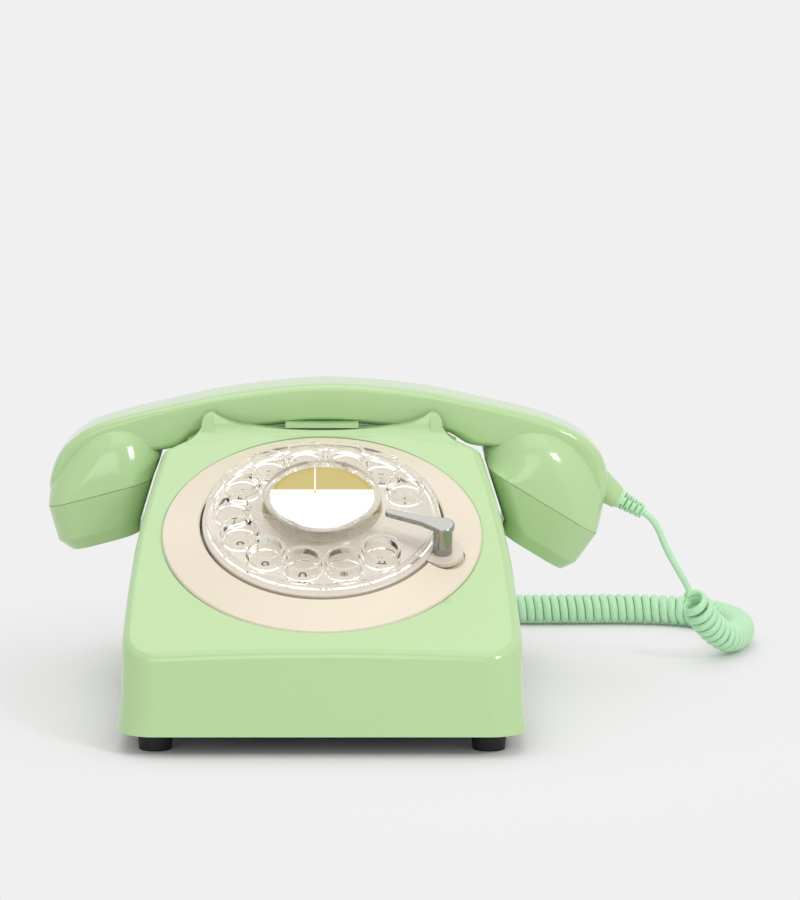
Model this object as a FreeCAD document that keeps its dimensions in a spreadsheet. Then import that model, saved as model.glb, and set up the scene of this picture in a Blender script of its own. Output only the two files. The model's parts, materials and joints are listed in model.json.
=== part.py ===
"""A desk telephone with a rotary dial, a cradle and a handset on a curly cord.

Millimetres. +X is to the user's right, +Y is away from the user and +Z is up.
"""
import FreeCAD, Part
import math
import os

import Sketcher
from FreeCAD import Placement, Rotation, Vector

# Driving sizes, in millimetres and degrees
SIZES = {
    # Housing
    "body_width": 150.8, "body_depth": 215.0, "body_wall": 2.6, "body_corner": 14.0,
    "lip_width": 147.0, "lip_height": 38.8, "lip_set_back": 4.0,
    "waist_width": 140.4, "waist_height": 70.0, "shoulder_width": 123.4, "shoulder_height": 97.0,
    "crest_width": 108.0, "crest_height": 116.0, "rear_lean": 22.0, "front_lean": 12.0,
    "slope_angle": 27.75, "crown_radius": 1400.0, "edge_round": 4.0,
    "plateau_height": 102.5, "plateau_width": 98.0, "plateau_fall": 0.5, "plateau_tilt": 0.17,
    "boss_diameter": 8.0, "boss_spacing_x": 92.0, "boss_front_y": 84.0, "boss_rear_y": 86.0,
    # Cradle
    "cradle_width": 94.8, "cradle_front_y": 13.4, "cradle_rear_y": 70.0, "horn_height": 109.9,
    "horn_spacing": 87.4, "saddle_height": 103.1, "channel_front_y": 24.6, "channel_width": 36.0,
    "seat_height": 100.6, "horn_flare": 6.0, "grip_recess_width": 78.0, "grip_recess_depth": 20.0,
    # Base
    "foot_height": 8.0, "foot_diameter": 16.4, "foot_tip": 12.0, "foot_flange": 2.2,
    "foot_spacing_x": 123.0, "foot_spacing_y": 168.0, "base_thickness": 2.5, "base_gap": 0.7,
    "screw_diameter": 3.0, "screw_head": 6.0, "screw_head_height": 1.8,
    # Dial
    "dial_y": -39.5, "dial_z": 72.5, "bezel_diameter": 122.0, "bezel_bore": 93.2, "bezel_rise": 4.2,
    "bezel_seat": 1.6, "dial_opening": 114.0, "bezel_depth": 4.5, "plate_gap": 1.0,
    "plate_thickness": 1.6, "wheel_diameter": 89.0, "wheel_lift": 1.8, "wheel_skirt": 3.8,
    "wheel_wall": 2.2, "wheel_cone": 2.4, "hole_bore": 12.7, "hole_collar": 14.9, "hole_pitch_radius": 34.2,
    "hole_count": 12, "hole_first": 22.0, "hole_step": 26.2, "collar_top": 12.9,
    "hub_diameter": 44.8, "hub_top": 17.4, "hub_rim": 2.4, "card_diameter": 39.6, "card_drop": 1.2,
    "spindle_diameter": 6.0, "stop_angle": -21.6, "stop_radius": 48.7, "stop_reach": 23.0,
    "stop_post": 7.4, "stop_height": 15.3, "tab_diameter": 16.0, "tab_gap": 0.7, "tab_recess": -0.6,
    # Dial movement
    "frame_diameter": 104.0, "frame_thickness": 2.0, "bridge_diameter": 84.0, "bridge_drop": 19.5,
    "gear_module": 1.0, "main_teeth": 40, "pinion_teeth": 10, "mesh_gap": 0.2, "pulse_angle": 200.0,
    "fine_module": 0.8, "pulse_teeth": 36, "governor_teeth": 12, "governor_angle": 290.0,
    "gear_width": 2.4, "run_gap": 0.06,
    # Handset
    "handset_y": 42.5, "handset_wall": 2.4, "cup_depth": 48.5,
    "cap_depth": 15.5, "cap_face": 5.0, "groove": 0.6, "capsule_diameter": 24.0, "relief_length": 12.0,
    "relief_diameter": 8.0,
    # Hook switch
    "plunger_width": 30.0, "plunger_depth": 26.0, "plunger_thickness": 3.0, "plunger_top": 104.0,
    "stem_size": 7.0, "stem_gap": 0.4,
    # Ringer
    "gong_diameter": 48.0, "gong_height": 16.0, "gong_wall": 1.4, "gong_spacing": 60.0, "gong_y": 58.0,
    "gong_top": 42.0,
    # Board and sockets
    "board_width": 104.0, "board_depth": 66.0, "board_thickness": 1.6, "board_lift": 5.0,
    "socket_width": 14.0, "socket_height": 12.0, "socket_depth": 16.0, "socket_spacing": 44.0,
    # Cord
    "cord_diameter": 3.1, "coil_diameter": 13.4, "curl_gap": 0.62,
}

# Free route of the cord, chosen by hand: lead from the relief, axis of the curls, tail to the plug
LEAD_ROUTE = [(130.4, 42.5, 66.2), (137.0, 42.7, 62.4), (141.4, 44.4, 50.8)]
COIL_ROUTE = [(149.8, 50.0, 34.0), (157.5, 57.5, 18.5), (169.0, 70.5, 7.8), (177.5, 91.5, 7.3),
              (178.5, 114.0, 7.3), (171.5, 134.0, 7.3), (156.0, 147.0, 7.3), (136.0, 150.5, 7.3),
              (108.0, 149.5, 7.3), (80.0, 149.5, 7.3), (56.0, 148.0, 7.3), (40.0, 146.5, 7.3)]
TAIL_ROUTE = [(14.0, 142.5, 7.6), (-1.0, 140.5, 11.0), (-13.0, 138.0, 16.0), (-22.0, 131.0, 20.0),
              (-22.0, 117.0, 20.0)]

doc = FreeCAD.newDocument("telephone")
sheet = doc.addObject("Spreadsheet::Sheet", "sizes")
for row, (alias, number) in enumerate(SIZES.items(), start=1):
    sheet.set("A%d" % row, alias)
    sheet.set("B%d" % row, str(number))
    sheet.setAlias("B%d" % row, alias)
doc.recompute()


class Size:
    """A number together with the formula in the sheet's names that gives it."""

    def __init__(self, number, text):
        self.number = float(number)
        self.text = text

    def joined(self, other, sign, number):
        return Size(number, "(%s %s %s)" % (self.text, sign, as_size(other).text))

    def __add__(self, other):
        return self.joined(other, "+", self.number + as_size(other).number)

    def __sub__(self, other):
        return self.joined(other, "-", self.number - as_size(other).number)

    def __mul__(self, other):
        return self.joined(other, "*", self.number * as_size(other).number)

    def __truediv__(self, other):
        return self.joined(other, "/", self.number / as_size(other).number)

    def __neg__(self):
        return Size(-self.number, "(0 - %s)" % self.text)

    def __float__(self):
        return self.number


def as_size(value):
    return value if isinstance(value, Size) else Size(value, repr(float(value)))


class Sheet:
    """Sizes by name, read back from the sheet."""

    def __getattr__(self, alias):
        return Size(sheet.get(alias), "sizes." + alias)


S = Sheet()
parts = []


def turned(radius, degrees, height=0.0):
    angle = math.radians(degrees)
    return Vector(float(radius) * math.cos(angle), float(radius) * math.sin(angle), float(height))


def kept(obj, label, placement=None):
    obj.Label = label
    if placement is not None:
        obj.Placement = placement
    parts.append(obj)
    return obj


def feature(label, shape, placement=None):
    obj = doc.addObject("Part::Feature", label)
    obj.Shape = shape
    return kept(obj, label, placement)


def origin_plane(body, role):
    return next(f for f in body.Origin.OriginFeatures if f.Role == role)


def outline_sketch(body, name, role, outline, lift=0.0):
    """A closed outline of straight edges, every corner tied to the sheet."""
    sketch = body.newObject("Sketcher::SketchObject", name)
    sketch.AttachmentSupport = [(origin_plane(body, role), "")]
    sketch.MapMode = "FlatFace"
    lift = as_size(lift)
    sketch.AttachmentOffset = Placement(Vector(0, 0, lift.number), Rotation())
    sketch.setExpression("AttachmentOffset.Base.z", lift.text)
    corners = [(as_size(a), as_size(b)) for a, b in outline]
    count = len(corners)
    for i in range(count):
        start, end = corners[i], corners[(i + 1) % count]
        sketch.addGeometry(Part.LineSegment(Vector(start[0].number, start[1].number, 0),
                                            Vector(end[0].number, end[1].number, 0)), False)
    for i in range(count):
        sketch.addConstraint(Sketcher.Constraint("Coincident", i, 2, (i + 1) % count, 1))
    for i, corner in enumerate(corners):
        for kind, size in zip(("DistanceX", "DistanceY"), corner):
            index = sketch.addConstraint(Sketcher.Constraint(kind, -1, 1, i, 1, size.number))
            sketch.setExpression("Constraints[%d]" % index, size.text)
    return sketch


def circle_sketch(body, name, centre, radius, lift):
    sketch = body.newObject("Sketcher::SketchObject", name)
    sketch.AttachmentSupport = [(origin_plane(body, "XY_Plane"), "")]
    sketch.MapMode = "FlatFace"
    lift, radius = as_size(lift), as_size(radius)
    sketch.AttachmentOffset = Placement(Vector(0, 0, lift.number), Rotation())
    sketch.setExpression("AttachmentOffset.Base.z", lift.text)
    x, y = (as_size(value) for value in centre)
    sketch.addGeometry(Part.Circle(Vector(x.number, y.number, 0), Vector(0, 0, 1), radius.number), False)
    index = sketch.addConstraint(Sketcher.Constraint("Radius", 0, radius.number))
    sketch.setExpression("Constraints[%d]" % index, radius.text)
    for kind, size in (("DistanceX", x), ("DistanceY", y)):
        index = sketch.addConstraint(Sketcher.Constraint(kind, -1, 1, 0, 3, size.number))
        sketch.setExpression("Constraints[%d]" % index, size.text)
    return sketch


def turning(label, outline, placement=None):
    """A body of revolution about Z from (radius, height) corners."""
    body = doc.addObject("PartDesign::Body", label)
    sketch = outline_sketch(body, label + "_profile", "XZ_Plane", outline)
    revolution = body.newObject("PartDesign::Revolution", label + "_turn")
    revolution.Profile = sketch
    revolution.ReferenceAxis = (sketch, ["V_Axis"])
    revolution.Angle = 360
    return kept(body, label, placement)


def pad_circle(body, name, centre, radius, low, height):
    sketch = circle_sketch(body, name, centre, radius, low)
    pad = body.newObject("PartDesign::Pad", name + "_pad")
    pad.Profile = sketch
    height = as_size(height)
    pad.Length = height.number
    pad.setExpression("Length", height.text)
    return pad


def pocket(body, name, sketch, depth):
    cut = body.newObject("PartDesign::Pocket", name + "_cut")
    cut.Profile = sketch
    depth = as_size(depth)
    cut.Length = depth.number
    cut.setExpression("Length", depth.text)
    return cut


def around(body, name, features, count, angle):
    pattern = body.newObject("PartDesign::PolarPattern", name)
    pattern.Originals = features
    pattern.Axis = (origin_plane_axis(body), [""])
    pattern.Angle = angle.number
    pattern.setExpression("Angle", angle.text)
    pattern.Occurrences = int(count.number)
    pattern.setExpression("Occurrences", count.text)
    body.Tip = pattern
    return pattern


def origin_plane_axis(body):
    return next(f for f in body.Origin.OriginFeatures if f.Role == "Z_Axis")


def cylinder(radius, height, base=Vector(0, 0, 0), axis=Vector(0, 0, 1)):
    return Part.makeCylinder(float(radius), float(height), base, axis)


def box(low, high):
    return Part.makeBox(*[float(b) - float(a) for a, b in zip(low, high)], Vector(*[float(a) for a in low]))


def prism(points, direction):
    corners = [Vector(*point) for point in points]
    return Part.Face(Part.makePolygon(corners + corners[:1])).extrude(direction)


# Frames that several pieces share
slope = math.radians(float(S.slope_angle))
along_slope = Vector(0, math.cos(slope), math.sin(slope))
out_of_slope = Vector(0, -math.sin(slope), math.cos(slope))
dial_centre = Vector(0, float(S.dial_y), float(S.dial_z))
dial = Placement(dial_centre, Rotation(Vector(1, 0, 0), float(S.slope_angle)))
front_y = -float(S.body_depth) / 2
rear_y = float(S.body_depth) / 2


# Housing
def rounded_rectangle(half_width, front, rear, radius, height):
    """A level wire of four lines and four quarter arcs."""
    corners = [(half_width, front), (half_width, rear), (-half_width, rear), (-half_width, front)]
    edges = []
    for i, (x, y) in enumerate(corners):
        sx, sy = math.copysign(1, x), 1 if y == rear else -1
        centre = Vector(x - sx * radius, y - sy * radius, height)
        first, last = Vector(sx * radius, 0, 0), Vector(0, sy * radius, 0)
        if i in (0, 2):
            first, last = last, first
        middle = (first + last) * (1 / math.sqrt(2))
        edges.append(Part.Arc(centre + first, centre + middle, centre + last).toShape())
    sides = []
    for i in range(4):
        start, end = edges[i].lastVertex().Point, edges[(i + 1) % 4].firstVertex().Point
        sides += [edges[i], Part.LineSegment(start, end).toShape()]
    return Part.Wire(sides)


def housing_form(inset):
    """The outer form of the housing, or the form of its hollow when inset by the wall."""
    bottom = float(S.foot_height) - (inset > 0)
    stations = ((bottom, S.body_width, 0.0, 0.0), (float(S.lip_height), S.lip_width, 0.333, 0.12),
                (float(S.waist_height), S.waist_width, 0.6, 0.45),
                (float(S.shoulder_height), S.shoulder_width, 0.85, 0.8),
                (float(S.crest_height), S.crest_width, 1.0, 1.0))
    wires = []
    for height, width, front_share, rear_share in stations:
        front = front_y + front_share * float(S.front_lean) + inset
        rear = rear_y - rear_share * float(S.rear_lean) - inset
        radius = max(float(S.body_corner) - inset, 1.0)
        wires.append(rounded_rectangle(float(width) / 2 - inset, front, rear, radius, height))
    form = Part.makeLoft(wires, True, False)
    lip = Vector(0, front_y + float(S.lip_set_back), float(S.lip_height))
    crown = float(S.crown_radius)
    reach = 3 * float(S.body_depth)
    crown_base = lip - out_of_slope * crown - along_slope * (reach / 2)
    form = form.common(cylinder(crown - inset, reach, crown_base, along_slope))
    half, high = float(S.plateau_width) / 2, float(S.plateau_height) - inset
    run, start = float(S.body_width), -2 * float(S.body_depth)
    tilt, fall = float(S.plateau_tilt), float(S.plateau_fall)
    high -= tilt * (start - 10.0)
    edge = (-half - run, high - fall * run)
    roof = [(edge[0], start, -reach), (edge[0], start, edge[1]), (-half, start, high),
            (half, start, high), (-edge[0], start, edge[1]), (-edge[0], start, -reach)]
    return form.common(prism(roof, Vector(0, reach * 2, -tilt * reach * 2)))


def rounded_housing():
    """The outer form with its upper edges rounded."""
    form = housing_form(0.0)
    limit = float(S.foot_height) + 1.0
    edges = []
    for edge in form.Edges:
        if edge.BoundBox.ZMin > limit and edge.Length > 8.0:
            faces = form.ancestorsOfType(edge, Part.Face)
            if len(faces) == 2:
                mid = (edge.FirstParameter + edge.LastParameter) / 2
                point = edge.valueAt(mid)
                normals = [f.normalAt(*f.Surface.parameter(point)) for f in faces]
                if normals[0].getAngle(normals[1]) > math.radians(12):
                    edges.append(edge)
    return form.makeFillet(float(S.edge_round), edges)


def horn_outline(depth_y, flared):
    """The cradle's outline from the front: two horns and the saddle between them."""
    half = float(S.cradle_width) / 2
    horn, tip, saddle = float(S.horn_spacing) / 2, float(S.horn_height), float(S.saddle_height)
    foot = float(S.seat_height) - 16.0
    shoulder = saddle + 1.7
    flare = float(S.horn_flare) if flared else 0.0

    def at(x, z):
        return Vector(x, depth_y, z)

    edges = []
    for side in (-1, 1):
        wide, low = side * (half + flare), saddle - flare * 0.62
        curves = [Part.LineSegment(at(wide, foot), at(wide, low))]
        if flared:
            middle = at(side * (half + flare * 0.36), saddle - flare * 0.36 + 0.9)
            curves.append(Part.Arc(at(wide, low), middle, at(side * half, saddle + 2.0)))
        curves += [Part.LineSegment(at(side * half, saddle + 2.0 * flared),
                                    at(side * (horn + 2.0), tip - 1.8)),
                   Part.Arc(at(side * (horn + 2.0), tip - 1.8), at(side * (horn + 0.4), tip),
                            at(side * (horn - 1.7), tip - 0.9)),
                   Part.Arc(at(side * (horn - 1.7), tip - 0.9), at(side * (horn - 6.0), tip - 3.2),
                            at(side * (horn - 13.6), shoulder))]
        edges += [curve.toShape() for curve in curves]
    inner, wide = horn - 13.6, half + flare
    edges.append(Part.Arc(at(-inner, shoulder), at(0, saddle), at(inner, shoulder)).toShape())
    edges.append(Part.LineSegment(at(-wide, foot), at(wide, foot)).toShape())
    return Part.Face(Part.Wire(Part.sortEdges(edges)[0]))


def cradle_form():
    """Front and rear wings with a channel for the handset's grip between them."""
    front, rear = float(S.cradle_front_y), float(S.cradle_rear_y)
    start, end = float(S.channel_front_y), float(S.channel_front_y) + float(S.channel_width)
    form = horn_outline(front - 14, True).extrude(Vector(0, start - front + 14, 0))
    form = form.fuse(horn_outline(start, False).extrude(Vector(0, rear - start, 0)))
    half = float(S.cradle_width)
    top, foot = float(S.horn_height) + 5, float(S.seat_height) - 20.0
    rise = math.tan(slope)
    low_y = front - 12
    low_z = float(S.dial_z) + (low_y - float(S.dial_y)) * rise - 2.0
    bend = [(15.2, 101.0), (17.2, 102.3), (18.6, 104.2), (19.6, 107.2), (20.4, 111.0), (21.2, top)]
    swoop = Part.BSplineCurve()
    ramp = [(low_y, low_z), (8.0, low_z + (8.0 - low_y) * rise)]
    swoop.interpolate([Vector(-half, y, z) for y, z in ramp + bend])
    ends = [(21.2, top), (rear, top), (rear, foot), (low_y, foot), (low_y, low_z)]
    rest = [Part.LineSegment(Vector(-half, *a), Vector(-half, *b)).toShape() for a, b in zip(ends, ends[1:])]
    face = Part.Face(Part.Wire([swoop.toShape()] + rest))
    form = form.common(face.extrude(Vector(2 * half, 0, 0)))
    channel = box((-half, start, S.seat_height), (half, end, top))
    channel_edges = [e for e in channel.Edges
                     if e.BoundBox.XLength > half and e.BoundBox.ZMax < float(S.seat_height) + 1]
    return form.cut(channel.makeFillet(5.0, channel_edges))


def screw_places():
    half = float(S.boss_spacing_x) / 2
    return [Vector(x, y, 0) for x in (-half, half) for y in (-float(S.boss_front_y), float(S.boss_rear_y))]


def grip_recess(grow):
    """The finger recess under the rear wing."""
    half = float(S.grip_recess_width) / 2 + grow
    low, high = 62.0 - grow, 78.0 + grow
    inner = rear_y - float(S.rear_lean) - float(S.grip_recess_depth) - grow
    shape = box((-half, inner, low), (half, rear_y + 5, high))
    long_edges = [e for e in shape.Edges if e.BoundBox.YLength > 5]
    return shape.makeFillet(5.0 + grow / 2, long_edges)


def socket_places():
    half = float(S.socket_spacing) / 2
    return {"cord_socket": Vector(-half, 0, 20.0), "line_socket": Vector(half, 0, 20.0)}


def body_cover():
    wall = float(S.body_wall)
    outer = rounded_housing().fuse(cradle_form())
    hollow = housing_form(wall)
    floor = float(S.foot_height) + float(S.base_thickness)
    well = box((-float(S.cradle_width) / 2, float(S.channel_front_y) - wall, float(S.seat_height) - wall),
               (float(S.cradle_width) / 2, float(S.cradle_rear_y), float(S.crest_height)))
    hollow = hollow.cut(well).cut(grip_recess(wall))
    hook_y = float(S.channel_front_y) + float(S.channel_width) / 2
    hollow = hollow.fuse(box((-16, hook_y - 9, 70), (16, hook_y + 9, float(S.seat_height) - wall)))
    for place in screw_places():
        post = cylinder(S.boss_diameter / 2, S.crest_height - floor, place + Vector(0, 0, floor))
        hollow = hollow.cut(post)
    shell = outer.cut(hollow).cut(grip_recess(0.0))
    opening = cylinder(S.dial_opening / 2, 60, Vector(0, 0, -50))
    recess = cylinder(S.bezel_diameter / 2 + 0.5, 20, Vector(0, 0, -float(S.bezel_seat)))
    seat = opening.fuse(recess)
    seat.Placement = dial
    shell = shell.cut(seat)
    stem = (S.stem_size / 2 + S.stem_gap).number
    y = float(S.channel_front_y) + float(S.channel_width) / 2
    shell = shell.cut(box((-stem, y - stem, 80), (stem, y + stem, 130)))
    for place in socket_places().values():
        half, tall = float(S.socket_width) / 2 + 0.2, float(S.socket_height) / 2 + 0.2
        shell = shell.cut(box((place.x - half, rear_y - 18, place.z - tall),
                              (place.x + half, rear_y + 5, place.z + tall)))
    for place in screw_places():
        shell = shell.cut(cylinder(S.screw_diameter / 2, 10, place + Vector(0, 0, floor - 0.5)))
    return shell.removeSplitter()


# Base
def base_plate():
    inset = (S.body_wall + S.base_gap).number
    low = float(S.foot_height)
    thick = float(S.base_thickness)
    half = float(S.body_width) / 2 - inset - 0.2
    front, rear = front_y + inset + 0.3, rear_y - inset - 0.3
    wire = rounded_rectangle(half, front, rear, float(S.body_corner) - inset, low)
    plate = Part.Face(wire).extrude(Vector(0, 0, thick))
    for place in screw_places():
        plate = plate.cut(cylinder(S.screw_diameter / 2, 20, place))
    top = low + thick
    for x, y in board_posts():
        plate = plate.fuse(cylinder(3.0, S.board_lift, Vector(x, y, top)))
    for i in range(-3, 4):
        plate = plate.cut(box((-20, 40 + i * 5.0, low - 1), (20, 42.0 + i * 5.0, top + 1)))
    return plate.removeSplitter()


def board_posts():
    half_x, half_y = float(S.board_width) / 2 - 6, float(S.board_depth) / 2 - 6
    return [(sx * half_x, -45.0 + sy * half_y) for sx in (-1, 1) for sy in (-1, 1)]


def rubber_feet():
    wide, tip, flange = S.foot_diameter / 2, S.foot_tip / 2, S.foot_flange
    high = float(S.foot_height)
    step = high - float(flange)
    profile = [(0, 0, 1.0), (2.2, 0, 1.0), (2.2, 0, 0), (float(tip), 0, 0), (float(tip) + 0.6, 0, step),
               (float(wide), 0, step + 0.5), (float(wide), 0, high), (0, 0, high)]
    face = Part.Face(Part.makePolygon([Vector(*p) for p in profile + profile[:1]]))
    foot = face.revolve(Vector(0, 0, 0), Vector(0, 0, 1), 360)
    half_x, half_y = float(S.foot_spacing_x) / 2, float(S.foot_spacing_y) / 2
    places = [Vector(x, y - 6.5, 0) for x in (-half_x, half_x) for y in (-half_y, half_y)]
    return Part.makeCompound([foot.translated(place) for place in places])


def cover_screws():
    head_low = float(S.foot_height) - float(S.screw_head_height)
    screws = []
    for place in screw_places():
        head = cylinder(S.screw_head / 2, S.screw_head_height, place + Vector(0, 0, head_low))
        slot = box((place.x - 2.2, place.y - 0.4, head_low - 1),
                   (place.x + 2.2, place.y + 0.4, head_low + 0.7))
        shank = cylinder(S.screw_diameter / 2, 11, place + Vector(0, 0, float(S.foot_height)))
        screws.append(head.cut(slot).fuse(shank).removeSplitter())
    return Part.makeCompound(screws)


def socket_shape(place):
    half, tall = float(S.socket_width) / 2, float(S.socket_height) / 2
    back = rear_y - 1.2
    shape = box((place.x - half, back - float(S.socket_depth), place.z - tall),
                (place.x + half, back, place.z + tall))
    mouth = box((place.x - 4.2, back - 12, place.z - 3.6), (place.x + 4.2, back + 1, place.z + 3.6))
    latch = box((place.x - 2.2, back - 12, place.z + 3.6), (place.x + 2.2, back + 1, place.z + 5.0))
    return shape.cut(mouth).cut(latch)


def socket_bracket():
    """A folded strip that carries both sockets on the base plate."""
    top = float(S.foot_height) + float(S.base_thickness)
    half = float(S.socket_spacing) / 2 + float(S.socket_width) / 2
    low = 20.0 - float(S.socket_height) / 2
    y = rear_y - 1.2 - float(S.socket_depth)
    return box((-half, y - 1.5, top), (half, y, low + 6)).fuse(box((-half, y, top), (half, y + 10, low)))


def circuit_board():
    low = float(S.foot_height) + float(S.base_thickness) + float(S.board_lift)
    half_x, half_y = float(S.board_width) / 2, float(S.board_depth) / 2
    top = low + float(S.board_thickness)
    shape = box((-half_x, -45 - half_y, low), (half_x, -45 + half_y, top))
    for x, y, wide, deep, tall in ((-30, -55, 18, 8, 3.2), (0, -60, 10, 10, 2.4), (28, -50, 12, 14, 6.0)):
        shape = shape.fuse(box((x, y, top), (x + wide, y + deep, top + tall)))
    for x, y in ((-40, -25), (-28, -25), (20, -25), (34, -24)):
        shape = shape.fuse(cylinder(4.0, 10.0, Vector(x, y, top)))
    return shape


# Dial
def dial_bezel():
    body = turning("dial_bezel", [
        (S.bezel_bore / 2, -S.bezel_depth), (S.dial_opening / 2 - 0.3, -S.bezel_depth),
        (S.dial_opening / 2 - 0.3, -S.bezel_seat), (S.bezel_diameter / 2, -S.bezel_seat),
        (S.bezel_diameter / 2, -0.7), (S.bezel_diameter / 2 - 0.5, 0),
        (S.bezel_bore / 2 + 0.6, S.bezel_rise), (S.bezel_bore / 2, S.bezel_rise - 0.4)], dial)
    place = turned(S.stop_radius, float(S.stop_angle))
    notch = circle_sketch(body, "bezel_notch", (place.x, place.y), S.tab_diameter / 2 + S.tab_gap, 20)
    pocket(body, "bezel_notch", notch, S.tab_recess + 20)
    return body


def dial_plate():
    top = S.bezel_rise
    edge = S.bezel_bore / 2 - S.plate_gap
    body = turning("dial_plate", [
        (7.6, top - S.plate_thickness), (edge, top - S.plate_thickness), (edge, top + 0.2),
        (edge - 0.4, top + 0.5), (edge - 1.4, top + 0.5), (edge - 1.8, top), (7.6, top)], dial)
    place = turned(S.stop_radius, float(S.stop_angle))
    pad_circle(body, "plate_tab", (place.x, place.y), S.tab_diameter / 2, top - S.plate_thickness,
               S.plate_thickness)
    hole = circle_sketch(body, "tab_hole", (place.x, place.y), S.screw_diameter / 2, 20)
    pocket(body, "tab_hole", hole, 40)
    return body


def finger_wheel():
    low = S.bezel_rise + S.wheel_lift
    rim = S.wheel_diameter / 2
    rim_top = low + S.wheel_skirt
    hub = S.hub_diameter / 2
    web_top = rim_top + S.wheel_cone
    web_low = web_top - S.wheel_wall
    bore = S.spindle_diameter / 2
    card_seat = S.hub_top - S.hub_rim
    body = turning("finger_wheel", [
        (rim - S.wheel_wall, low), (rim - 0.3, low), (rim, low + 0.4), (rim, rim_top - 0.5),
        (rim - 0.5, rim_top), (rim - S.wheel_wall, rim_top), (hub + 0.6, web_top), (hub, S.hub_top - 0.5),
        (hub - 0.5, S.hub_top),
        (S.card_diameter / 2 + 0.3, S.hub_top), (S.card_diameter / 2 + 0.3, card_seat), (bore, card_seat),
        (bore, web_low), (hub, web_low), (rim - S.wheel_wall, rim_top - S.wheel_wall)], dial)
    first = turned(S.hole_pitch_radius, float(S.hole_first))
    sweep = S.hole_step * (S.hole_count - 1)
    collar = pad_circle(body, "collar", (first.x, first.y), S.hole_collar / 2, low + 0.6,
                        S.collar_top - low - 0.6)
    around(body, "collars", [collar], S.hole_count, sweep)
    bore_sketch = circle_sketch(body, "finger_bore", (first.x, first.y), S.hole_bore / 2, S.hub_top)
    hole = pocket(body, "finger_bore", bore_sketch, S.hub_top)
    around(body, "finger_bores", [hole], S.hole_count, sweep)
    return body


def hub_pieces():
    seat = S.hub_top - S.hub_rim
    cover_low = S.hub_top - S.card_drop
    edge = S.card_diameter / 2
    turning("number_card", [(0, seat), (edge, seat), (edge, seat + 0.5), (0, seat + 0.5)], dial)
    turning("card_cover", [
        (0, seat + 0.5), (edge, seat + 0.5), (edge, S.hub_top - 0.3), (edge - 1.2, S.hub_top - 0.1),
        (edge - 2.0, cover_low), (0, cover_low + 0.2)], dial)


def finger_stop():
    """A post with a spoon-shaped arm that reaches in over the wheel."""
    base, top = float(S.bezel_rise), float(S.stop_height)
    post = cylinder(S.stop_post / 2, top - base, Vector(float(S.stop_radius), 0, base))
    post = post.makeFillet(0.5, [e for e in post.Edges if e.BoundBox.ZMin > top - 0.1])
    outer, inner = float(S.stop_radius), float(S.stop_radius) - float(S.stop_reach)
    wide, waist, nose = float(S.stop_post) / 2 + 0.6, 2.2, 1.7
    left = [Vector(outer, wide, top), Vector(outer - 8, waist, top), Vector(inner + nose, nose, top)]
    right = [Vector(v.x, -v.y, v.z) for v in reversed(left)]
    edges = [Part.LineSegment(left[0], left[1]), Part.LineSegment(left[1], left[2]),
             Part.Arc(left[2], Vector(inner, 0, top), right[0]), Part.LineSegment(right[0], right[1]),
             Part.LineSegment(right[1], right[2]),
             Part.Arc(right[2], Vector(outer + wide, 0, top), left[0])]
    arm = Part.Face(Part.Wire([e.toShape() for e in edges])).extrude(Vector(0, 0, 1.8))
    rims = [e for e in arm.Edges if e.BoundBox.ZMin > top + 1.7]
    arm = arm.makeFillet(0.6, rims)
    shape = post.fuse(arm)
    shape = shape.cut(cylinder(S.screw_diameter / 2, 8, Vector(outer, 0, base - 1)))
    plate_edge = (S.bezel_bore / 2 - S.plate_gap).number
    shape = shape.cut(cylinder(plate_edge + 0.05, 0.6, Vector(0, 0, base)))
    shape.rotate(Vector(0, 0, 0), Vector(0, 0, 1), float(S.stop_angle))
    return shape.removeSplitter()


def stop_screw():
    under = float(S.bezel_rise) - float(S.plate_thickness)
    place = turned(S.stop_radius, float(S.stop_angle))
    head_low = Vector(0, 0, under - float(S.screw_head_height))
    head = cylinder(S.screw_head / 2, S.screw_head_height, place + head_low)
    return head.fuse(cylinder(S.screw_diameter / 2, 7.5, place + Vector(0, 0, under))).removeSplitter()


# Movement behind the dial, in the dial's own frame
frame_top = -float(S.bezel_depth)
frame_low = frame_top - float(S.frame_thickness)
bridge_top = frame_low - float(S.bridge_drop)
bridge_low = bridge_top - float(S.frame_thickness)
gear_high = frame_low - 4.0
gear_low = gear_high - float(S.gear_width)
fine_high = gear_low - 2.2
fine_low = fine_high - float(S.gear_width)
pulse_distance = ((S.main_teeth + S.pinion_teeth) * S.gear_module / 2 + S.mesh_gap).number
pulse_place = turned(pulse_distance, float(S.pulse_angle))
governor_distance = ((S.pulse_teeth + S.governor_teeth) * S.fine_module / 2 + S.mesh_gap).number
governor_place = pulse_place + turned(governor_distance, float(S.governor_angle))
PILLAR_ANGLES = (20.0, 100.0, 310.0)
pillar_radius = float(S.bridge_diameter) / 2 - 5.0
pivot = float(S.spindle_diameter) / 3
journal_gap = float(S.run_gap)


def gear(teeth, module, low, high, phase):
    """A spur gear with straight-sided teeth, one tooth centred on the phase angle."""
    teeth, module = int(float(teeth)), float(module)
    pitch = 360.0 / teeth
    radius = teeth * module / 2
    root, tip = radius - 1.25 * module, radius + 0.85 * module
    corners = []
    for i in range(teeth):
        middle = phase + i * pitch
        for r, share in ((root, -0.30), (tip, -0.11), (tip, 0.11), (root, 0.30)):
            corners.append(turned(r, middle + share * pitch, low))
    return Part.Face(Part.makePolygon(corners + corners[:1])).extrude(Vector(0, 0, high - low))


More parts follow.
